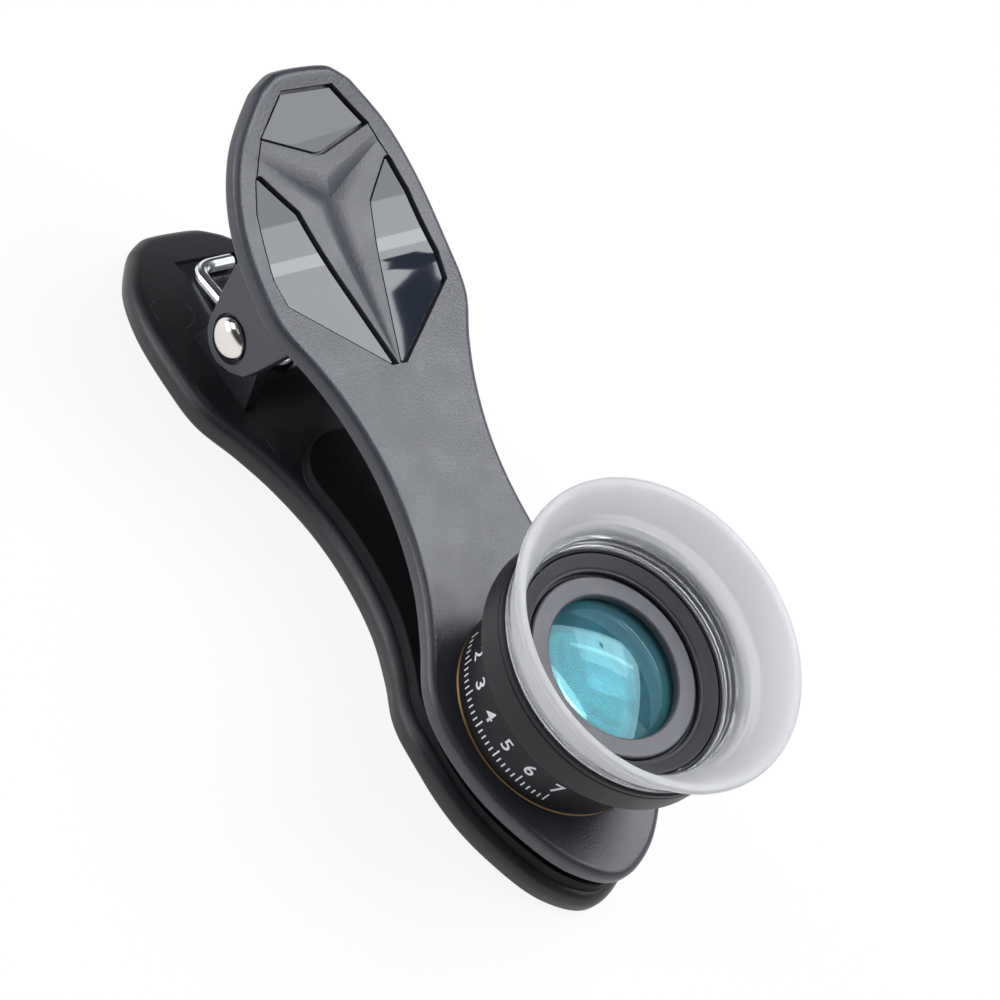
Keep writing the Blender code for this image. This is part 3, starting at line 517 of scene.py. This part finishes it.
half_outline = smooth_curve(JAW_OUTLINE, POINTS_PER_SPAN)

# Rear jaw: hinge ears, pocket for the spring's foot and the moulding's round ejector marks
rear_outline = [Vector((p.x, p.y * REAR_THUMB_LENGTH)) if p.y > 0.0 else p for p in half_outline]
rear_rings = edge_rings(REAR_THICK, 0.0, 1.45, 0.6)
rear_jaw = slab("rear_shell", rear_outline, rear_rings, rear_point)
rear_jaw = add_object("rear_shell", rear_jaw, rear_frame)
rear_root = REAR_THICK - EAR_ROOT - PIVOT_ABOVE_BACK
rear_ear = [(5.6, rear_root)] + arc(3.2, 0.0, 180.0) + [(-4.6, rear_root)]
for side, low in (("left", -REAR_EAR_OUTER), ("right", REAR_EAR_OUTER - REAR_EAR_THICK)):
    ear = plate(f"rear_ear_{side}", rear_ear, low, low + REAR_EAR_THICK)
    ear = add_object(f"rear_ear_{side}", ear, rear_frame)
    rounded(ear, 0.12)
    carve(rear_jaw, ear, "UNION")
carve(rear_jaw, pivot_cutter("rear_pin_hole", PIN_HOLE_RADIUS, -CUT_REACH, CUT_REACH, rear_frame))
pocket_rows = [(s, -2.9, 4.6) for s in np.linspace(12.0, 14.9, 7)]
pocket = strip("foot_pocket", pocket_rows, REAR_THICK + 1.0, REAR_THICK - FOOT_POCKET_DEPTH, rear_point)
carve(rear_jaw, add_object("foot_pocket", pocket, rear_frame))
EJECTOR_WIDTH = 0.16
EJECTOR_DEPTH = 0.05
for x, s, radius in ((-7.6, 8.5, 2.1), (7.6, 8.5, 2.1), (-5.8, -8.9, 1.4), (5.8, -8.9, 1.4)):
    seat = Vector(rear_point(x, s, REAR_THICK)) * MM
    slope = station(s, REAR_CROWN, NOSE_BEND)[2]
    spot = rear_frame @ Matrix.Translation(seat) @ Matrix.Rotation(slope, 4, "X")
    middle, far = radius + EJECTOR_WIDTH / 2, radius + EJECTOR_WIDTH
    groove = [(radius, 0.3), (radius, 0.0), (middle, -EJECTOR_DEPTH), (far, 0.0), (far, 0.3)]
    carve(rear_jaw, turned("ejector_mark", groove, spot, 64))
finished(rear_jaw, rear_look, "rear_body", "rear_jaw")

# Front jaw
front_rings = edge_rings(0.0, -FRONT_THICK, 0.8, 0.9)
front_jaw = slab("front_shell", half_outline, front_rings, front_point)
front_jaw = add_object("front_shell", front_jaw, front_frame)
front_root = FACE_ABOVE_PIVOT - FRONT_THICK + EAR_ROOT
front_ear = [(5.6, front_root), (5.3, 5.0), (4.3, 1.7)] + arc(3.4, -10.0, -106.0)
front_ear += [(-2.6, -2.1), (-3.9, -0.5), (-4.4, 1.8), (-5.1, 6.4), (-5.4, front_root)]
for side, low in (("left", -EAR_OUTER), ("right", EAR_OUTER - FRONT_EAR_THICK)):
    ear = plate(f"front_ear_{side}", front_ear, low, low + FRONT_EAR_THICK)
    ear = add_object(f"front_ear_{side}", ear, front_frame)
    rounded(ear, 0.18)
    carve(front_jaw, ear, "UNION")
carve(front_jaw, pivot_cutter("front_pin_hole", PIN_HOLE_RADIUS, -CUT_REACH, CUT_REACH, front_frame))
bore_floor = EAR_OUTER - COUNTERBORE_DEPTH
for side, low, high in (("left", -CUT_REACH, -bore_floor), ("right", bore_floor, CUT_REACH)):
    carve(front_jaw, pivot_cutter(f"counterbore_{side}", COUNTERBORE_RADIUS, low, high, front_frame))
hole_end = -FRONT_THICK - 1.0
nose_hole = [(0.0, 1.0), (NOSE_HOLE_RADIUS, 1.0), (NOSE_HOLE_RADIUS, hole_end), (0.0, hole_end)]
carve(front_jaw, turned("nose_hole", nose_hole, lens_frame, closed=False))

# Inlays and their recesses. The profile holds how far a recess reaches past its inlay, at each height
INLAY_TOP = -INLAY_SINK - 0.07
RECESS_PROFILE = [
    (0.36, 0.9), (0.36, 0.02), (0.31, -0.03), (0.28, -0.10), (0.27, -0.20), (0.27, INLAY_TOP - 0.52),
]


def pad_half(distance):
    """Half outline of a grip pad: the jaw's nose half moved in, closed by a round end."""
    body = [p for p in inset(half_outline, distance) if p.y < PAD_END - 6.0]
    top = PAD_END - (distance - PAD_INSET)
    centre = body[0].y + 0.6
    turns = [math.pi / 2 * i / 24 for i in range(24)]
    return [Vector((body[0].x * math.sin(a), centre + (top - centre) * math.cos(a))) for a in turns] + body


def inlay_rows(inner, outer, step=0.4):
    """Rows of (s, x inner, x outer) between two edges."""
    low, high = inner[0][1], inner[-1][1]
    corners = {p[1] for p in inner + outer}
    steps = max(2, round((high - low) / step))
    spots = sorted(corners | {low + (high - low) * i / steps for i in range(steps + 1)})
    return [(s, line_at(inner, s), line_at(outer, s)) for s in spots]


def inlay_set(name, inner, outer, side):
    """A gloss inlay and the recess it sits in. side is -1 or 1, or 0 for one across the middle."""
    if side:
        rows = [(s, *sorted((side * a, side * b))) for s, a, b in inlay_rows(inner, outer)]
    else:
        rows = [(s, -b, b) for s, _, b in inlay_rows(outer, outer)]
    recess = flared(f"{name}_recess", rows, RECESS_PROFILE, front_point)
    carve(front_jaw, add_object(f"{name}_recess", recess, front_frame))
    gloss = strip(f"{name}_gloss", rows, INLAY_TOP, INLAY_TOP - INLAY_THICK, front_point)
    gloss = add_object(f"{name}_gloss", gloss, front_frame)
    rounded(gloss, 0.07, 2, 40.0)
    finished(gloss, inlay_look, "front_body", name)


def crease(name, start, end, start_half, end_half):
    """A shallow groove in the front jaw's face: two hollow shoulders that meet in a sharp line."""
    begin, finish = Vector(start), Vector(end)
    across = (finish - begin).normalized().orthogonal()
    shares = [math.copysign(abs(u) ** 1.4, u) for u in np.linspace(-1.0, 1.0, 21)]
    sections = []
    for i in range(31):
        t = i / 30
        centre = begin.lerp(finish, t)
        depth = 0.005 + 0.5 * (1.0 - t) ** 0.8
        half = start_half + (end_half - start_half) * t
        corners = [(half * u, 0.012 * abs(u) - depth * (1 - abs(u)) ** 1.8) for u in shares]
        corners += [(half * 1.02, 0.6), (-half * 1.02, 0.6)]
        spots = [(centre + across * shift, h) for shift, h in corners]
        sections.append([front_point(spot.x, spot.y, h) for spot, h in spots])
    carve(front_jaw, add_object(name, loft(name, sections), front_frame))


seat_rings = [(-0.1, 0.4 - FRONT_THICK), (-0.1, -FRONT_THICK - 1.0)]
seat = slab("pad_seat", pad_half(PAD_INSET), seat_rings, front_point)
carve(front_jaw, add_object("pad_seat", seat, front_frame))
inlay_set("thumb_inlay_top", TOP_INLAY_ROWS, TOP_INLAY_ROWS, 0)
inlay_set("thumb_inlay_left", SIDE_INLAY_INNER, SIDE_INLAY_OUTER, -1)
inlay_set("thumb_inlay_right", SIDE_INLAY_INNER, SIDE_INLAY_OUTER, 1)
crease("crease_left", (0.0, 8.1), (-7.7, 13.0), 2.2, 1.1)
crease("crease_right", (0.0, 8.1), (7.7, 13.0), 2.2, 1.1)
crease("crease_stem", (0.0, 8.13), (0.0, -8.6), 2.25, 0.3)
for side in (-1, 1):
    joint_line = [(s, *sorted((side * x, side * (x + 0.18)))) for s, x in ((10.6, 8.28), (14.8, 6.36))]
    joint_line = strip("panel_line", joint_line, 1.0, -0.35, front_point)
    carve(front_jaw, add_object("panel_line", joint_line, front_frame))
finished(front_jaw, jaw_look, "front_body", "front_jaw")

# Grip pads
PAD_BONDLINE = 0.05
REAR_PAD_EDGE = [(0.45, 1.3), (0.32, 1.28), (0.22, 1.2), (0.18, 1.1), (0.08, 0.2), (0.0, 0.1), (0.0, 0.0)]
pad_rings = [(distance, REAR_THICK + PAD_BONDLINE + height) for distance, height in REAR_PAD_EDGE]
rear_pad = slab("rear_pad", pad_half(PAD_INSET), pad_rings, rear_pad_point)
finished(add_object("rear_pad", rear_pad, rear_frame), pad_look, "rear_body", "rear_jaw_pad")
front_pad_rings = [
    (0.0, 0.35 - FRONT_THICK), (0.0, PAD_PLANE + 0.45), (0.1, PAD_PLANE + 0.2), (0.35, PAD_PLANE + 0.1),
]
front_pad = slab("front_pad", pad_half(PAD_INSET), front_pad_rings, front_point)
front_pad = add_object("front_pad", front_pad, front_frame)
way_end = PAD_PLANE - 1.0
light_way = [(0.0, 1.0), (LIGHT_WAY_RADIUS, 1.0), (LIGHT_WAY_RADIUS, way_end), (0.0, way_end)]
carve(front_pad, turned("light_way", light_way, lens_frame, closed=False))
finished(front_pad, pad_look, "front_body", "front_jaw_pad")

# Rivet and its pressed-on cap
head_base = EAR_OUTER - 0.45
dome = [
    (RIVET_HEAD_RADIUS * math.cos(a), head_base + RIVET_DOME * (0.22 + 0.78 * math.sin(a)))
    for a in np.linspace(math.pi / 2, 0.0, 20)
]
dome[0] = (0.0, dome[0][1])
tail_end = head_base + 0.8
shank_end = 8.8
rivet = [(r, -z) for r, z in dome]
rivet += [(RIVET_HEAD_RADIUS, -head_base), (RIVET_SHANK_RADIUS, -head_base), (RIVET_SHANK_RADIUS, shank_end)]
rivet += [(1.0, shank_end), (1.0, tail_end), (0.0, tail_end)]
rivet = turned("rivet", rivet, rear_frame @ across_x, 72, closed=False)
finished(rivet, steel_look, "rear_body", "pivot_rivet")
cap_end = tail_end + 0.05
cap = dome + [(RIVET_HEAD_RADIUS, head_base), (1.05, head_base), (1.05, cap_end), (0.0, cap_end)]
cap = turned("rivet_cap", cap, rear_frame @ across_x, 72, closed=False)
finished(cap, steel_look, "rear_body", "pivot_rivet_cap")


# Torsion spring: each leg follows its jaw, and the coil, tied to neither jaw, winds round between them
def rounded_corner(before, corner, after, radius, steps=8):
    start = corner + (before - corner).normalized() * radius
    end = corner + (after - corner).normalized() * radius
    shares = [i / steps for i in range(steps + 1)]
    return [start.lerp(corner, t).lerp(corner.lerp(end, t), t) for t in shares]


def wire(name, path, matrix):
    """A round wire along points in millimetres, as a mesh in world coordinates."""
    curve = bpy.data.curves.new(name, "CURVE")
    curve.dimensions = "3D"
    curve.bevel_depth = WIRE_RADIUS * MM
    curve.bevel_resolution = 5
    curve.use_fill_caps = True
    spline = curve.splines.new("POLY")
    spline.points.add(len(path) - 1)
    for point, place in zip(spline.points, path):
        point.co = (*(matrix @ (place * MM)), 1.0)
    drawn = bpy.data.objects.new(name, curve)
    bpy.context.scene.collection.objects.link(drawn)
    bpy.context.view_layer.update()
    mesh = bpy.data.meshes.new_from_object(drawn)
    bpy.data.objects.remove(drawn)
    return add_object(name, mesh, Matrix())


to_rear = Matrix.Rotation(OPEN_ANGLE, 3, "X")
WIRE_CLEARANCE = 0.1
LEG_BEND_RADIUS = 2.3
under = -FRONT_THICK - WIRE_RADIUS - WIRE_CLEARANCE
floor = REAR_THICK - FOOT_POCKET_DEPTH + WIRE_RADIUS + WIRE_CLEARANCE
coil_start = math.pi / 2 + OPEN_ANGLE
coil_end = -math.pi / 2 + 2 * math.pi * COIL_TURNS
turns = (coil_end - coil_start) / (2 * math.pi)
coil_steps = round(turns * 36)
coil = []
for i in range(coil_steps + 1):
    angle = coil_start + (coil_end - coil_start) * i / coil_steps
    x = turns * COIL_PITCH / 2 - COIL_PITCH * (angle - coil_start) / (2 * math.pi)
    coil.append(Vector((x, COIL_RADIUS * math.cos(angle), COIL_RADIUS * math.sin(angle))))
upper_foot = to_rear @ Vector(front_point(-2.9, FOOT_ALONG, under))
upper_corner = to_rear @ Vector(front_point(1.0, FOOT_ALONG, under))
lower_corner = Vector(rear_point(-1.8, FOOT_ALONG - 0.5, floor))
lower_foot = Vector(rear_point(2.9, FOOT_ALONG - 0.3, floor))
upper_leg = [upper_foot] + rounded_corner(upper_foot, upper_corner, coil[0], LEG_BEND_RADIUS) + coil[:2]
lower_leg = coil[-2:] + rounded_corner(coil[-1], lower_corner, lower_foot, LEG_BEND_RADIUS) + [lower_foot]
finished(wire("spring_upper_leg", upper_leg, rear_frame), spring_look, "front_body", "torsion_spring")
finished(wire("spring_lower_leg", lower_leg, rear_frame), spring_look, "rear_body", "torsion_spring")
coil_piece = finished(wire("spring_coil", coil, rear_frame), spring_look, None, "torsion_spring")
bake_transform(coil_piece)

# Lens: mount ring, barrel, collar and rings
mount = [
    (MOUNT_RADIUS - 0.15, 0.4), (MOUNT_RADIUS, 0.25), (MOUNT_RADIUS, 0.05), (MOUNT_TUBE_RADIUS, 0.05),
    (MOUNT_TUBE_RADIUS, MOUNT_TUBE_END), (MOUNT_BORE_RADIUS, MOUNT_TUBE_END), (MOUNT_BORE_RADIUS, 0.4),
]
finished(turned("mount", softened(mount), lens_frame), brass_look, "front_body", "mount_ring")

barrel = [
    (BARREL_RADIUS - 0.15, BARREL_TOP), (BARREL_RADIUS, BARREL_TOP - 0.15), (BARREL_RADIUS, COLLAR_FOOT),
    (BARREL_FOOT_RADIUS, BARREL_FOOT), (BARREL_FOOT_RADIUS - 0.15, BARREL_FOOT - 0.15),
    (THREAD_RADIUS, BARREL_FOOT - 0.15), (THREAD_RADIUS, THREAD_END + 0.15),
    (THREAD_RADIUS - 0.15, THREAD_END), (5.9, THREAD_END), (5.9, 1.6), (5.0, 1.6), (5.0, 2.3),
    (7.6, 2.3), (7.6, 4.4), (9.1, 4.4), (9.1, BARREL_TOP),
]
finished(turned("barrel", softened(barrel), lens_frame), barrel_look, "lens_body", "lens_barrel")

collar = [
    (13.05, COLLAR_TOP), (COLLAR_RADIUS - 0.15, COLLAR_TOP), (COLLAR_RADIUS, COLLAR_TOP - 0.15),
    (COLLAR_RADIUS, 12.0), (COLLAR_RADIUS - 0.12, 11.88), (COLLAR_RADIUS, 11.76),
    (COLLAR_RADIUS - 0.12, COLLAR_FOOT + 0.3), (COLLAR_RADIUS - 0.3, COLLAR_FOOT),
    (11.1, COLLAR_FOOT), (11.1, 11.1), (11.35, 11.1), (11.35, 10.4), (13.05, 10.4),
]
finished(turned("collar", softened(collar, 0.06), lens_frame), collar_look, "lens_body", "barrel_collar")

face = [
    (BARREL_RADIUS - 0.15, 11.16), (BARREL_RADIUS, 11.01), (BARREL_RADIUS, 10.0), (9.35, 10.0),
    (9.35, 10.42), (9.5, 10.5), (9.6, 10.38), (9.75, 10.55),
]
finished(turned("face", softened(face), lens_frame), face_look, "lens_body", "face_ring")

retainer = [
    (GLASS_RADIUS - 0.15, 10.3), (GLASS_RADIUS, 10.15), (GLASS_RADIUS, 9.2), (7.45, 9.2), (7.05, 9.5),
    (7.05, 10.15), (7.2, 10.3),
]
finished(turned("retainer", softened(retainer), lens_frame), retainer_look, "lens_body", "retaining_ring")


def dome_points(radius, edge, apex, steps=24):
    """Points of a shallow dome from its centre out to its edge."""
    return [(radius * t, apex + (edge - apex) * t * t) for t in np.linspace(0.0, 1.0, steps + 1)]


glass = dome_points(7.2, 9.1, 10.15)
glass += [(GLASS_RADIUS - 0.15, 9.1), (GLASS_RADIUS, 8.95), (GLASS_RADIUS, 7.15), (GLASS_RADIUS - 0.15, 7.0)]
glass += dome_points(7.2, 7.0, 6.1)[::-1]
finished(turned("front_glass", glass, lens_frame, closed=False), glass_look, "lens_body", "front_lens")
inner = dome_points(7.0, 4.3, 5.0) + [(INNER_GLASS_RADIUS, 4.3), (INNER_GLASS_RADIUS, 2.4), (0.0, 2.4)]
inner = turned("inner_glass", inner, lens_frame, closed=False)
finished(inner, inner_glass_look, "lens_body", "inner_lens")
rear_glass = [(0.0, 1.5), (REAR_GLASS_RADIUS, 1.5), (REAR_GLASS_RADIUS, -1.5)]
rear_glass += dome_points(4.8, -1.5, -2.1)[::-1]
rear_glass = turned("rear_glass", rear_glass, lens_frame, closed=False)
finished(rear_glass, inner_glass_look, "lens_body", "rear_lens", slot="rear_glass")
rear_ring = [(REAR_GLASS_RADIUS, -1.6), (REAR_GLASS_RADIUS, -2.4), (4.9, -2.4), (4.9, -1.6)]
rear_ring = turned("rear_ring", softened(rear_ring), lens_frame)
finished(rear_ring, collar_look, "lens_body", "rear_retaining_ring", slot="rear_ring_black")
spacer = [(GLASS_RADIUS, 6.95), (GLASS_RADIUS, 4.45), (7.4, 4.45), (7.4, 6.95)]
finished(turned("spacer", softened(spacer), lens_frame), spacer_look, "lens_body", "spacer_ring")

# Hood: one profile from the lip down the outside, round the plug in the collar and up the inside
hood_lip = [(15.1, 18.0), (15.32, 17.97), (15.45, 17.86), (15.5, 17.65), (15.46, 17.45), (15.36, 17.25)]
hood_outside = [
    (14.9, 16.6), (14.2, 15.2), (13.8, 14.2), (13.6, 13.6), (13.55, 13.35), (13.4, 13.2), (13.4, 12.7),
]
hood_plug = [
    (HOOD_PLUG_RADIUS, 12.7), (HOOD_PLUG_RADIUS, 10.65), (HOOD_PLUG_RADIUS - 0.15, 10.5), (11.6, 10.5),
]
hood_steps = [
    (11.45, 10.65), (11.45, 11.5), (11.56, 11.62), (11.5, 11.74), (11.5, 12.1), (11.64, 12.22),
    (11.58, 12.34), (11.6, 12.8), (11.85, 13.1),
]
hood_inside = [(12.3, 14.0), (13.1, 15.6), (14.0, 17.1), (14.4, 17.65), (14.6, 17.86), (14.85, 17.97)]
hood = hood_lip + hood_outside + hood_plug + hood_steps + hood_inside
CLEAR_BELOW_INSIDE = 13.1
CLEAR_BELOW_OUTSIDE = 14.0
hood_piece = turned("hood", softened(hood, 0.07), lens_frame)
finished(hood_piece, hood_look, "hood_body", "diffuser_hood")
hood_piece.data.materials.append(clear_look)
for polygon in hood_piece.data.polygons:
    spot = lens_frame.inverted() @ polygon.center / MM
    inside = math.hypot(spot.x, spot.y) < 12.5
    polygon.material_index = int(spot.z < (CLEAR_BELOW_INSIDE if inside else CLEAR_BELOW_OUTSIDE))


# A plain scale of ticks and numbers painted on the barrel
PAINT_LIFT = 0.012
TICK_STEP = 0.62
TICK_WIDTH = 0.16
TICK_FOOT = 1.6
TICKS_PER_NUMBER = 5
NUMBERS_EACH_SIDE = 3
NUMBER_SIZE = 2.2
NUMBER_FOOT = 3.5


def barrel_radius(z):
    """The painted surface's radius: the barrel widens from its foot to the collar."""
    share = (z - BARREL_FOOT) / (COLLAR_FOOT - BARREL_FOOT)
    return BARREL_FOOT_RADIUS + (BARREL_RADIUS - BARREL_FOOT_RADIUS) * share + PAINT_LIFT


def painted(name, flat, facing_deg):
    """Wraps a flat mesh (x round the barrel, y up it, both in mm) onto the barrel's side."""
    shape = bmesh.new()
    shape.from_mesh(flat)
    bmesh.ops.triangulate(shape, faces=shape.faces)
    bmesh.ops.subdivide_edges(shape, edges=shape.edges, cuts=1, use_grid_fill=True)
    for vert in shape.verts:
        x, z = vert.co.x, vert.co.y
        radius = barrel_radius(z)
        angle = math.radians(facing_deg) + x / radius
        vert.co = Vector((radius * math.cos(angle), radius * math.sin(angle), z)) * MM
    bmesh.ops.recalc_face_normals(shape, faces=shape.faces)
    mesh = bpy.data.meshes.new(name)
    shape.to_mesh(mesh)
    shape.free()
    return mesh


def scale_marks():
    """Ticks with a number over every fifth one, as one flat mesh."""
    shape = bmesh.new()
    last_tick = NUMBERS_EACH_SIDE * TICKS_PER_NUMBER
    for k in range(-last_tick, last_tick + 1):
        left, right = k * TICK_STEP - TICK_WIDTH / 2, k * TICK_STEP + TICK_WIDTH / 2
        top = TICK_FOOT + (1.25 if k % TICKS_PER_NUMBER == 0 else 0.75)
        corners = [(left, TICK_FOOT), (right, TICK_FOOT), (right, top), (left, top)]
        shape.faces.new([shape.verts.new((*corner, 0.0)) for corner in corners])
    for k in range(-NUMBERS_EACH_SIDE, NUMBERS_EACH_SIDE + 1):
        words = bpy.data.curves.new("number", "FONT")
        words.body = str(k + NUMBERS_EACH_SIDE + 1)
        words.size = NUMBER_SIZE
        words.offset = 0.03
        words.align_x = "CENTER"
        words.resolution_u = 4
        drawn = bpy.data.objects.new("number", words)
        bpy.context.scene.collection.objects.link(drawn)
        bpy.context.view_layer.update()
        digit = bpy.data.meshes.new_from_object(drawn)
        bpy.data.objects.remove(drawn)
        digit.transform(Matrix.Translation((k * TICKS_PER_NUMBER * TICK_STEP, NUMBER_FOOT, 0.0)))
        shape.from_mesh(digit)
    flat = bpy.data.meshes.new("scale")
    shape.to_mesh(flat)
    shape.free()
    return flat


marks = add_object("barrel_scale", painted("barrel_scale", scale_marks(), 180.0), Matrix())
marks.data.transform(lens_frame)
marks.data.materials.append(marks_look)
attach(marks, "lens_body")


# Studio
def joined(tree, operation, *sources):
    """One Math node over two or more outputs or numbers, chained."""
    result = sources[0]
    for source in sources[1:]:
        step = tree.nodes.new("ShaderNodeMath")
        step.operation = operation
        tree.links.new(result, step.inputs[0])
        if isinstance(source, float):
            step.inputs[1].default_value = source
        else:
            tree.links.new(source, step.inputs[1])
        result = step.outputs[0]
    return result


def floor_look(name, colour, seen_white):
    """A pale matt surface that views and reflections see as mostly white, and that keeps a shadow."""
    made = bpy.data.materials.new(name)
    made.use_nodes = True
    tree = made.node_tree
    shader = tree.nodes["Principled BSDF"]
    shader.inputs["Base Color"].default_value = (*colour, 1.0)
    shader.inputs["Roughness"].default_value = 0.9
    way = add_node(tree, "ShaderNodeLightPath", (-700, 300))
    rays = [way.outputs[name] for name in ("Is Camera Ray", "Is Glossy Ray", "Is Transmission Ray")]
    seen = joined(tree, "MAXIMUM", *rays)
    glow = add_node(tree, "ShaderNodeEmission", (-200, -200), Color=(1.0, 1.0, 1.0, 1.0), Strength=1.0)
    mix = tree.nodes.new("ShaderNodeMixShader")
    tree.links.new(joined(tree, "MULTIPLY", seen, seen_white), mix.inputs["Fac"])
    tree.links.new(shader.outputs[0], mix.inputs[1])
    tree.links.new(glow.outputs[0], mix.inputs[2])
    tree.links.new(mix.outputs[0], tree.nodes["Material Output"].inputs["Surface"])
    return made


FLOOR_HALF = 3000.0
FLOOR_HEIGHT = -0.2
floor_corners = [(-1, -1), (1, -1), (1, 1), (-1, 1)]
floor_points = [(x * FLOOR_HALF, y * FLOOR_HALF, FLOOR_HEIGHT) for x, y in floor_corners]
floor_piece = add_object("studio_floor", mesh_of("studio_floor", floor_points, [(0, 1, 2, 3)]), Matrix())
floor_piece.data.materials.append(floor_look("floor_pale", (0.86, 0.86, 0.87), 0.9))

# The world is white to the view and through glass. Gloss sees it darken overhead, as in a dark room
# with low white walls, and matt surfaces get an even low fill from it
world = bpy.data.worlds.new("studio")
bpy.context.scene.world = world
world.use_nodes = True
tree = world.node_tree
background = tree.nodes["Background"]
background.inputs["Color"].default_value = (0.97, 0.98, 1.0, 1.0)
way = add_node(tree, "ShaderNodeLightPath", (-900, 200))
place = add_node(tree, "ShaderNodeTexCoord", (-900, -200))
height = add_node(tree, "ShaderNodeSeparateXYZ", (-700, -200))
ceiling = add_node(
    tree, "ShaderNodeMapRange", (-500, -200), From_Min=0.10, From_Max=0.32, To_Min=1.0, To_Max=0.06,
)
on_matt = add_node(tree, "ShaderNodeMapRange", (-500, 100), To_Min=0.24, To_Max=0.0)
tree.links.new(place.outputs["Generated"], height.inputs["Vector"])
tree.links.new(height.outputs["Z"], ceiling.inputs["Value"])
tree.links.new(way.outputs["Is Glossy Ray"], on_matt.inputs["Value"])
in_gloss = joined(tree, "MULTIPLY", way.outputs["Is Glossy Ray"], ceiling.outputs["Result"])
level = joined(
    tree, "MAXIMUM", way.outputs["Is Camera Ray"], way.outputs["Is Transmission Ray"], in_gloss,
    on_matt.outputs["Result"],
)
tree.links.new(level, background.inputs["Strength"])


LAMP_COLOUR = (0.95, 0.97, 1.0)
LENS_SPOT = Vector((0.0, -0.02, 0.012))
LAMP_DISTANCE = 0.8


def softbox(name, spot, along, across, size_x, size_y, radiance):
    """A rectangular area light with its sides on two directions, in metres, facing the object.

    A radiance of 1 reads as white in a mirror.
    """
    x_axis = Vector(along).normalized()
    z_axis = x_axis.cross(Vector(across)).normalized()
    if z_axis.dot(Vector(spot)) < 0.0:
        z_axis = -z_axis
    data = bpy.data.lights.new(name, "AREA")
    data.shape = "RECTANGLE"
    data.size = size_x
    data.size_y = size_y
    data.color = LAMP_COLOUR
    data.energy = radiance * math.pi * size_x * size_y
    made = bpy.data.objects.new(name, data)
    facing = Matrix((x_axis, z_axis.cross(x_axis), z_axis)).transposed().to_4x4()
    made.matrix_world = Matrix.Translation(spot) @ facing
    bpy.context.scene.collection.objects.link(made)


# The key's long edge is set by where the gloss inlays mirror it. The core is its brighter middle
# and the streak a bright line near that edge, each a step nearer the object
key_centre = Vector((0.3294, -0.0129, 0.4592))
key_along = Vector((0.7123, -0.4158, -0.5654))
key_across = Vector((0.3659, 0.9075, -0.2063))
key_normal = key_along.cross(key_across)
key_edge = 0.0858
KEY_LAMPS = (
    ("key_softbox", -0.06, key_edge - 0.20, 0.0, 0.44, 0.50, 4.7),
    ("key_core", 0.0, key_edge - 0.03, -0.01, 0.20, 0.13, 2.6),
    ("key_streak", 0.0, key_edge - 0.038, -0.02, 0.26, 0.018, 3.4),
)
for name, shift_along, shift_across, shift_out, size_x, size_y, radiance in KEY_LAMPS:
    spot = key_centre + key_along * shift_along + key_across * shift_across + key_normal * shift_out
    softbox(name, spot, key_along, key_across, size_x, size_y, radiance)


def around(name, turn_deg, rise_deg, size_x, size_y, radiance):
    """A softbox aimed at the lens, at a turn from +X and a rise from the floor."""
    turn, rise = math.radians(turn_deg), math.radians(rise_deg)
    facing = Vector((math.cos(turn) * math.cos(rise), math.sin(turn) * math.cos(rise), math.sin(rise)))
    along = Vector((-math.sin(turn), math.cos(turn), 0.0))
    spot = LENS_SPOT + facing * LAMP_DISTANCE
    softbox(name, spot, along, along.cross(facing), size_x, size_y, radiance)


around("back_left_low", 135.0, 10.0, 0.50, 0.22, 5.0)
around("back_left_high", 135.0, 38.0, 0.45, 0.35, 2.4)
around("left_high", 180.0, 66.0, 0.40, 0.40, 0.5)
around("front_right", 315.0, 38.0, 0.45, 0.35, 1.3)
softbox(
    "overhead_strip", Vector((0.233, -0.159, 0.959)) * 0.6, (0.266, -0.962, 0.0), (0.962, 0.266, -0.2),
    0.25, 0.05, 6.0,
)

# A small dark card in front of the key, which the right inlay mirrors, in the key's own plane
CARD_CORNERS = [
    (-5.9, 82.2), (-1.6, 88.0), (1.2, 89.5), (2.2, 86.6), (8.0, 84.0), (7.0, 66.0), (-0.6, 66.0),
    (-1.6, 71.2), (-2.7, 75.1),
]
CARD_LOW, CARD_HIGH = -30.0, -29.0
key_plane = Matrix((key_along, key_across, key_normal)).transposed().to_4x4()
card = loft("dark_card", [[(a, b, h) for a, b in CARD_CORNERS] for h in (CARD_LOW, CARD_HIGH)])
card = add_object("dark_card", card, Matrix.Translation(key_centre) @ key_plane)
card.data.materials.append(material("card_navy", (0.03, 0.05, 0.10), 0.8))

# The photograph's view, solved from its round rims, as a stand in the lens's frame
camera = bpy.data.cameras.new("photo_view")
camera.lens = 186.5
camera.sensor_width = 36.0
camera.clip_start = 0.01
camera.clip_end = 10.0
camera_object = bpy.data.objects.new("photo_view", camera)
bpy.context.scene.collection.objects.link(camera_object)
stand = Matrix((
    (0.74344, 0.16851, -0.64723, -0.3096),
    (-0.39353, 0.89270, -0.21960, -0.0857),
    (0.54078, 0.41796, 0.72998, 0.3367),
    (0.0, 0.0, 0.0, 1.0),
))
camera_object.matrix_world = front_frame @ Matrix.Translation((0.0, -0.0454, 0.028)) @ stand
bpy.context.scene.camera = camera_object
bpy.context.scene.view_settings.view_transform = "Standard"

bpy.context.view_layer.update()
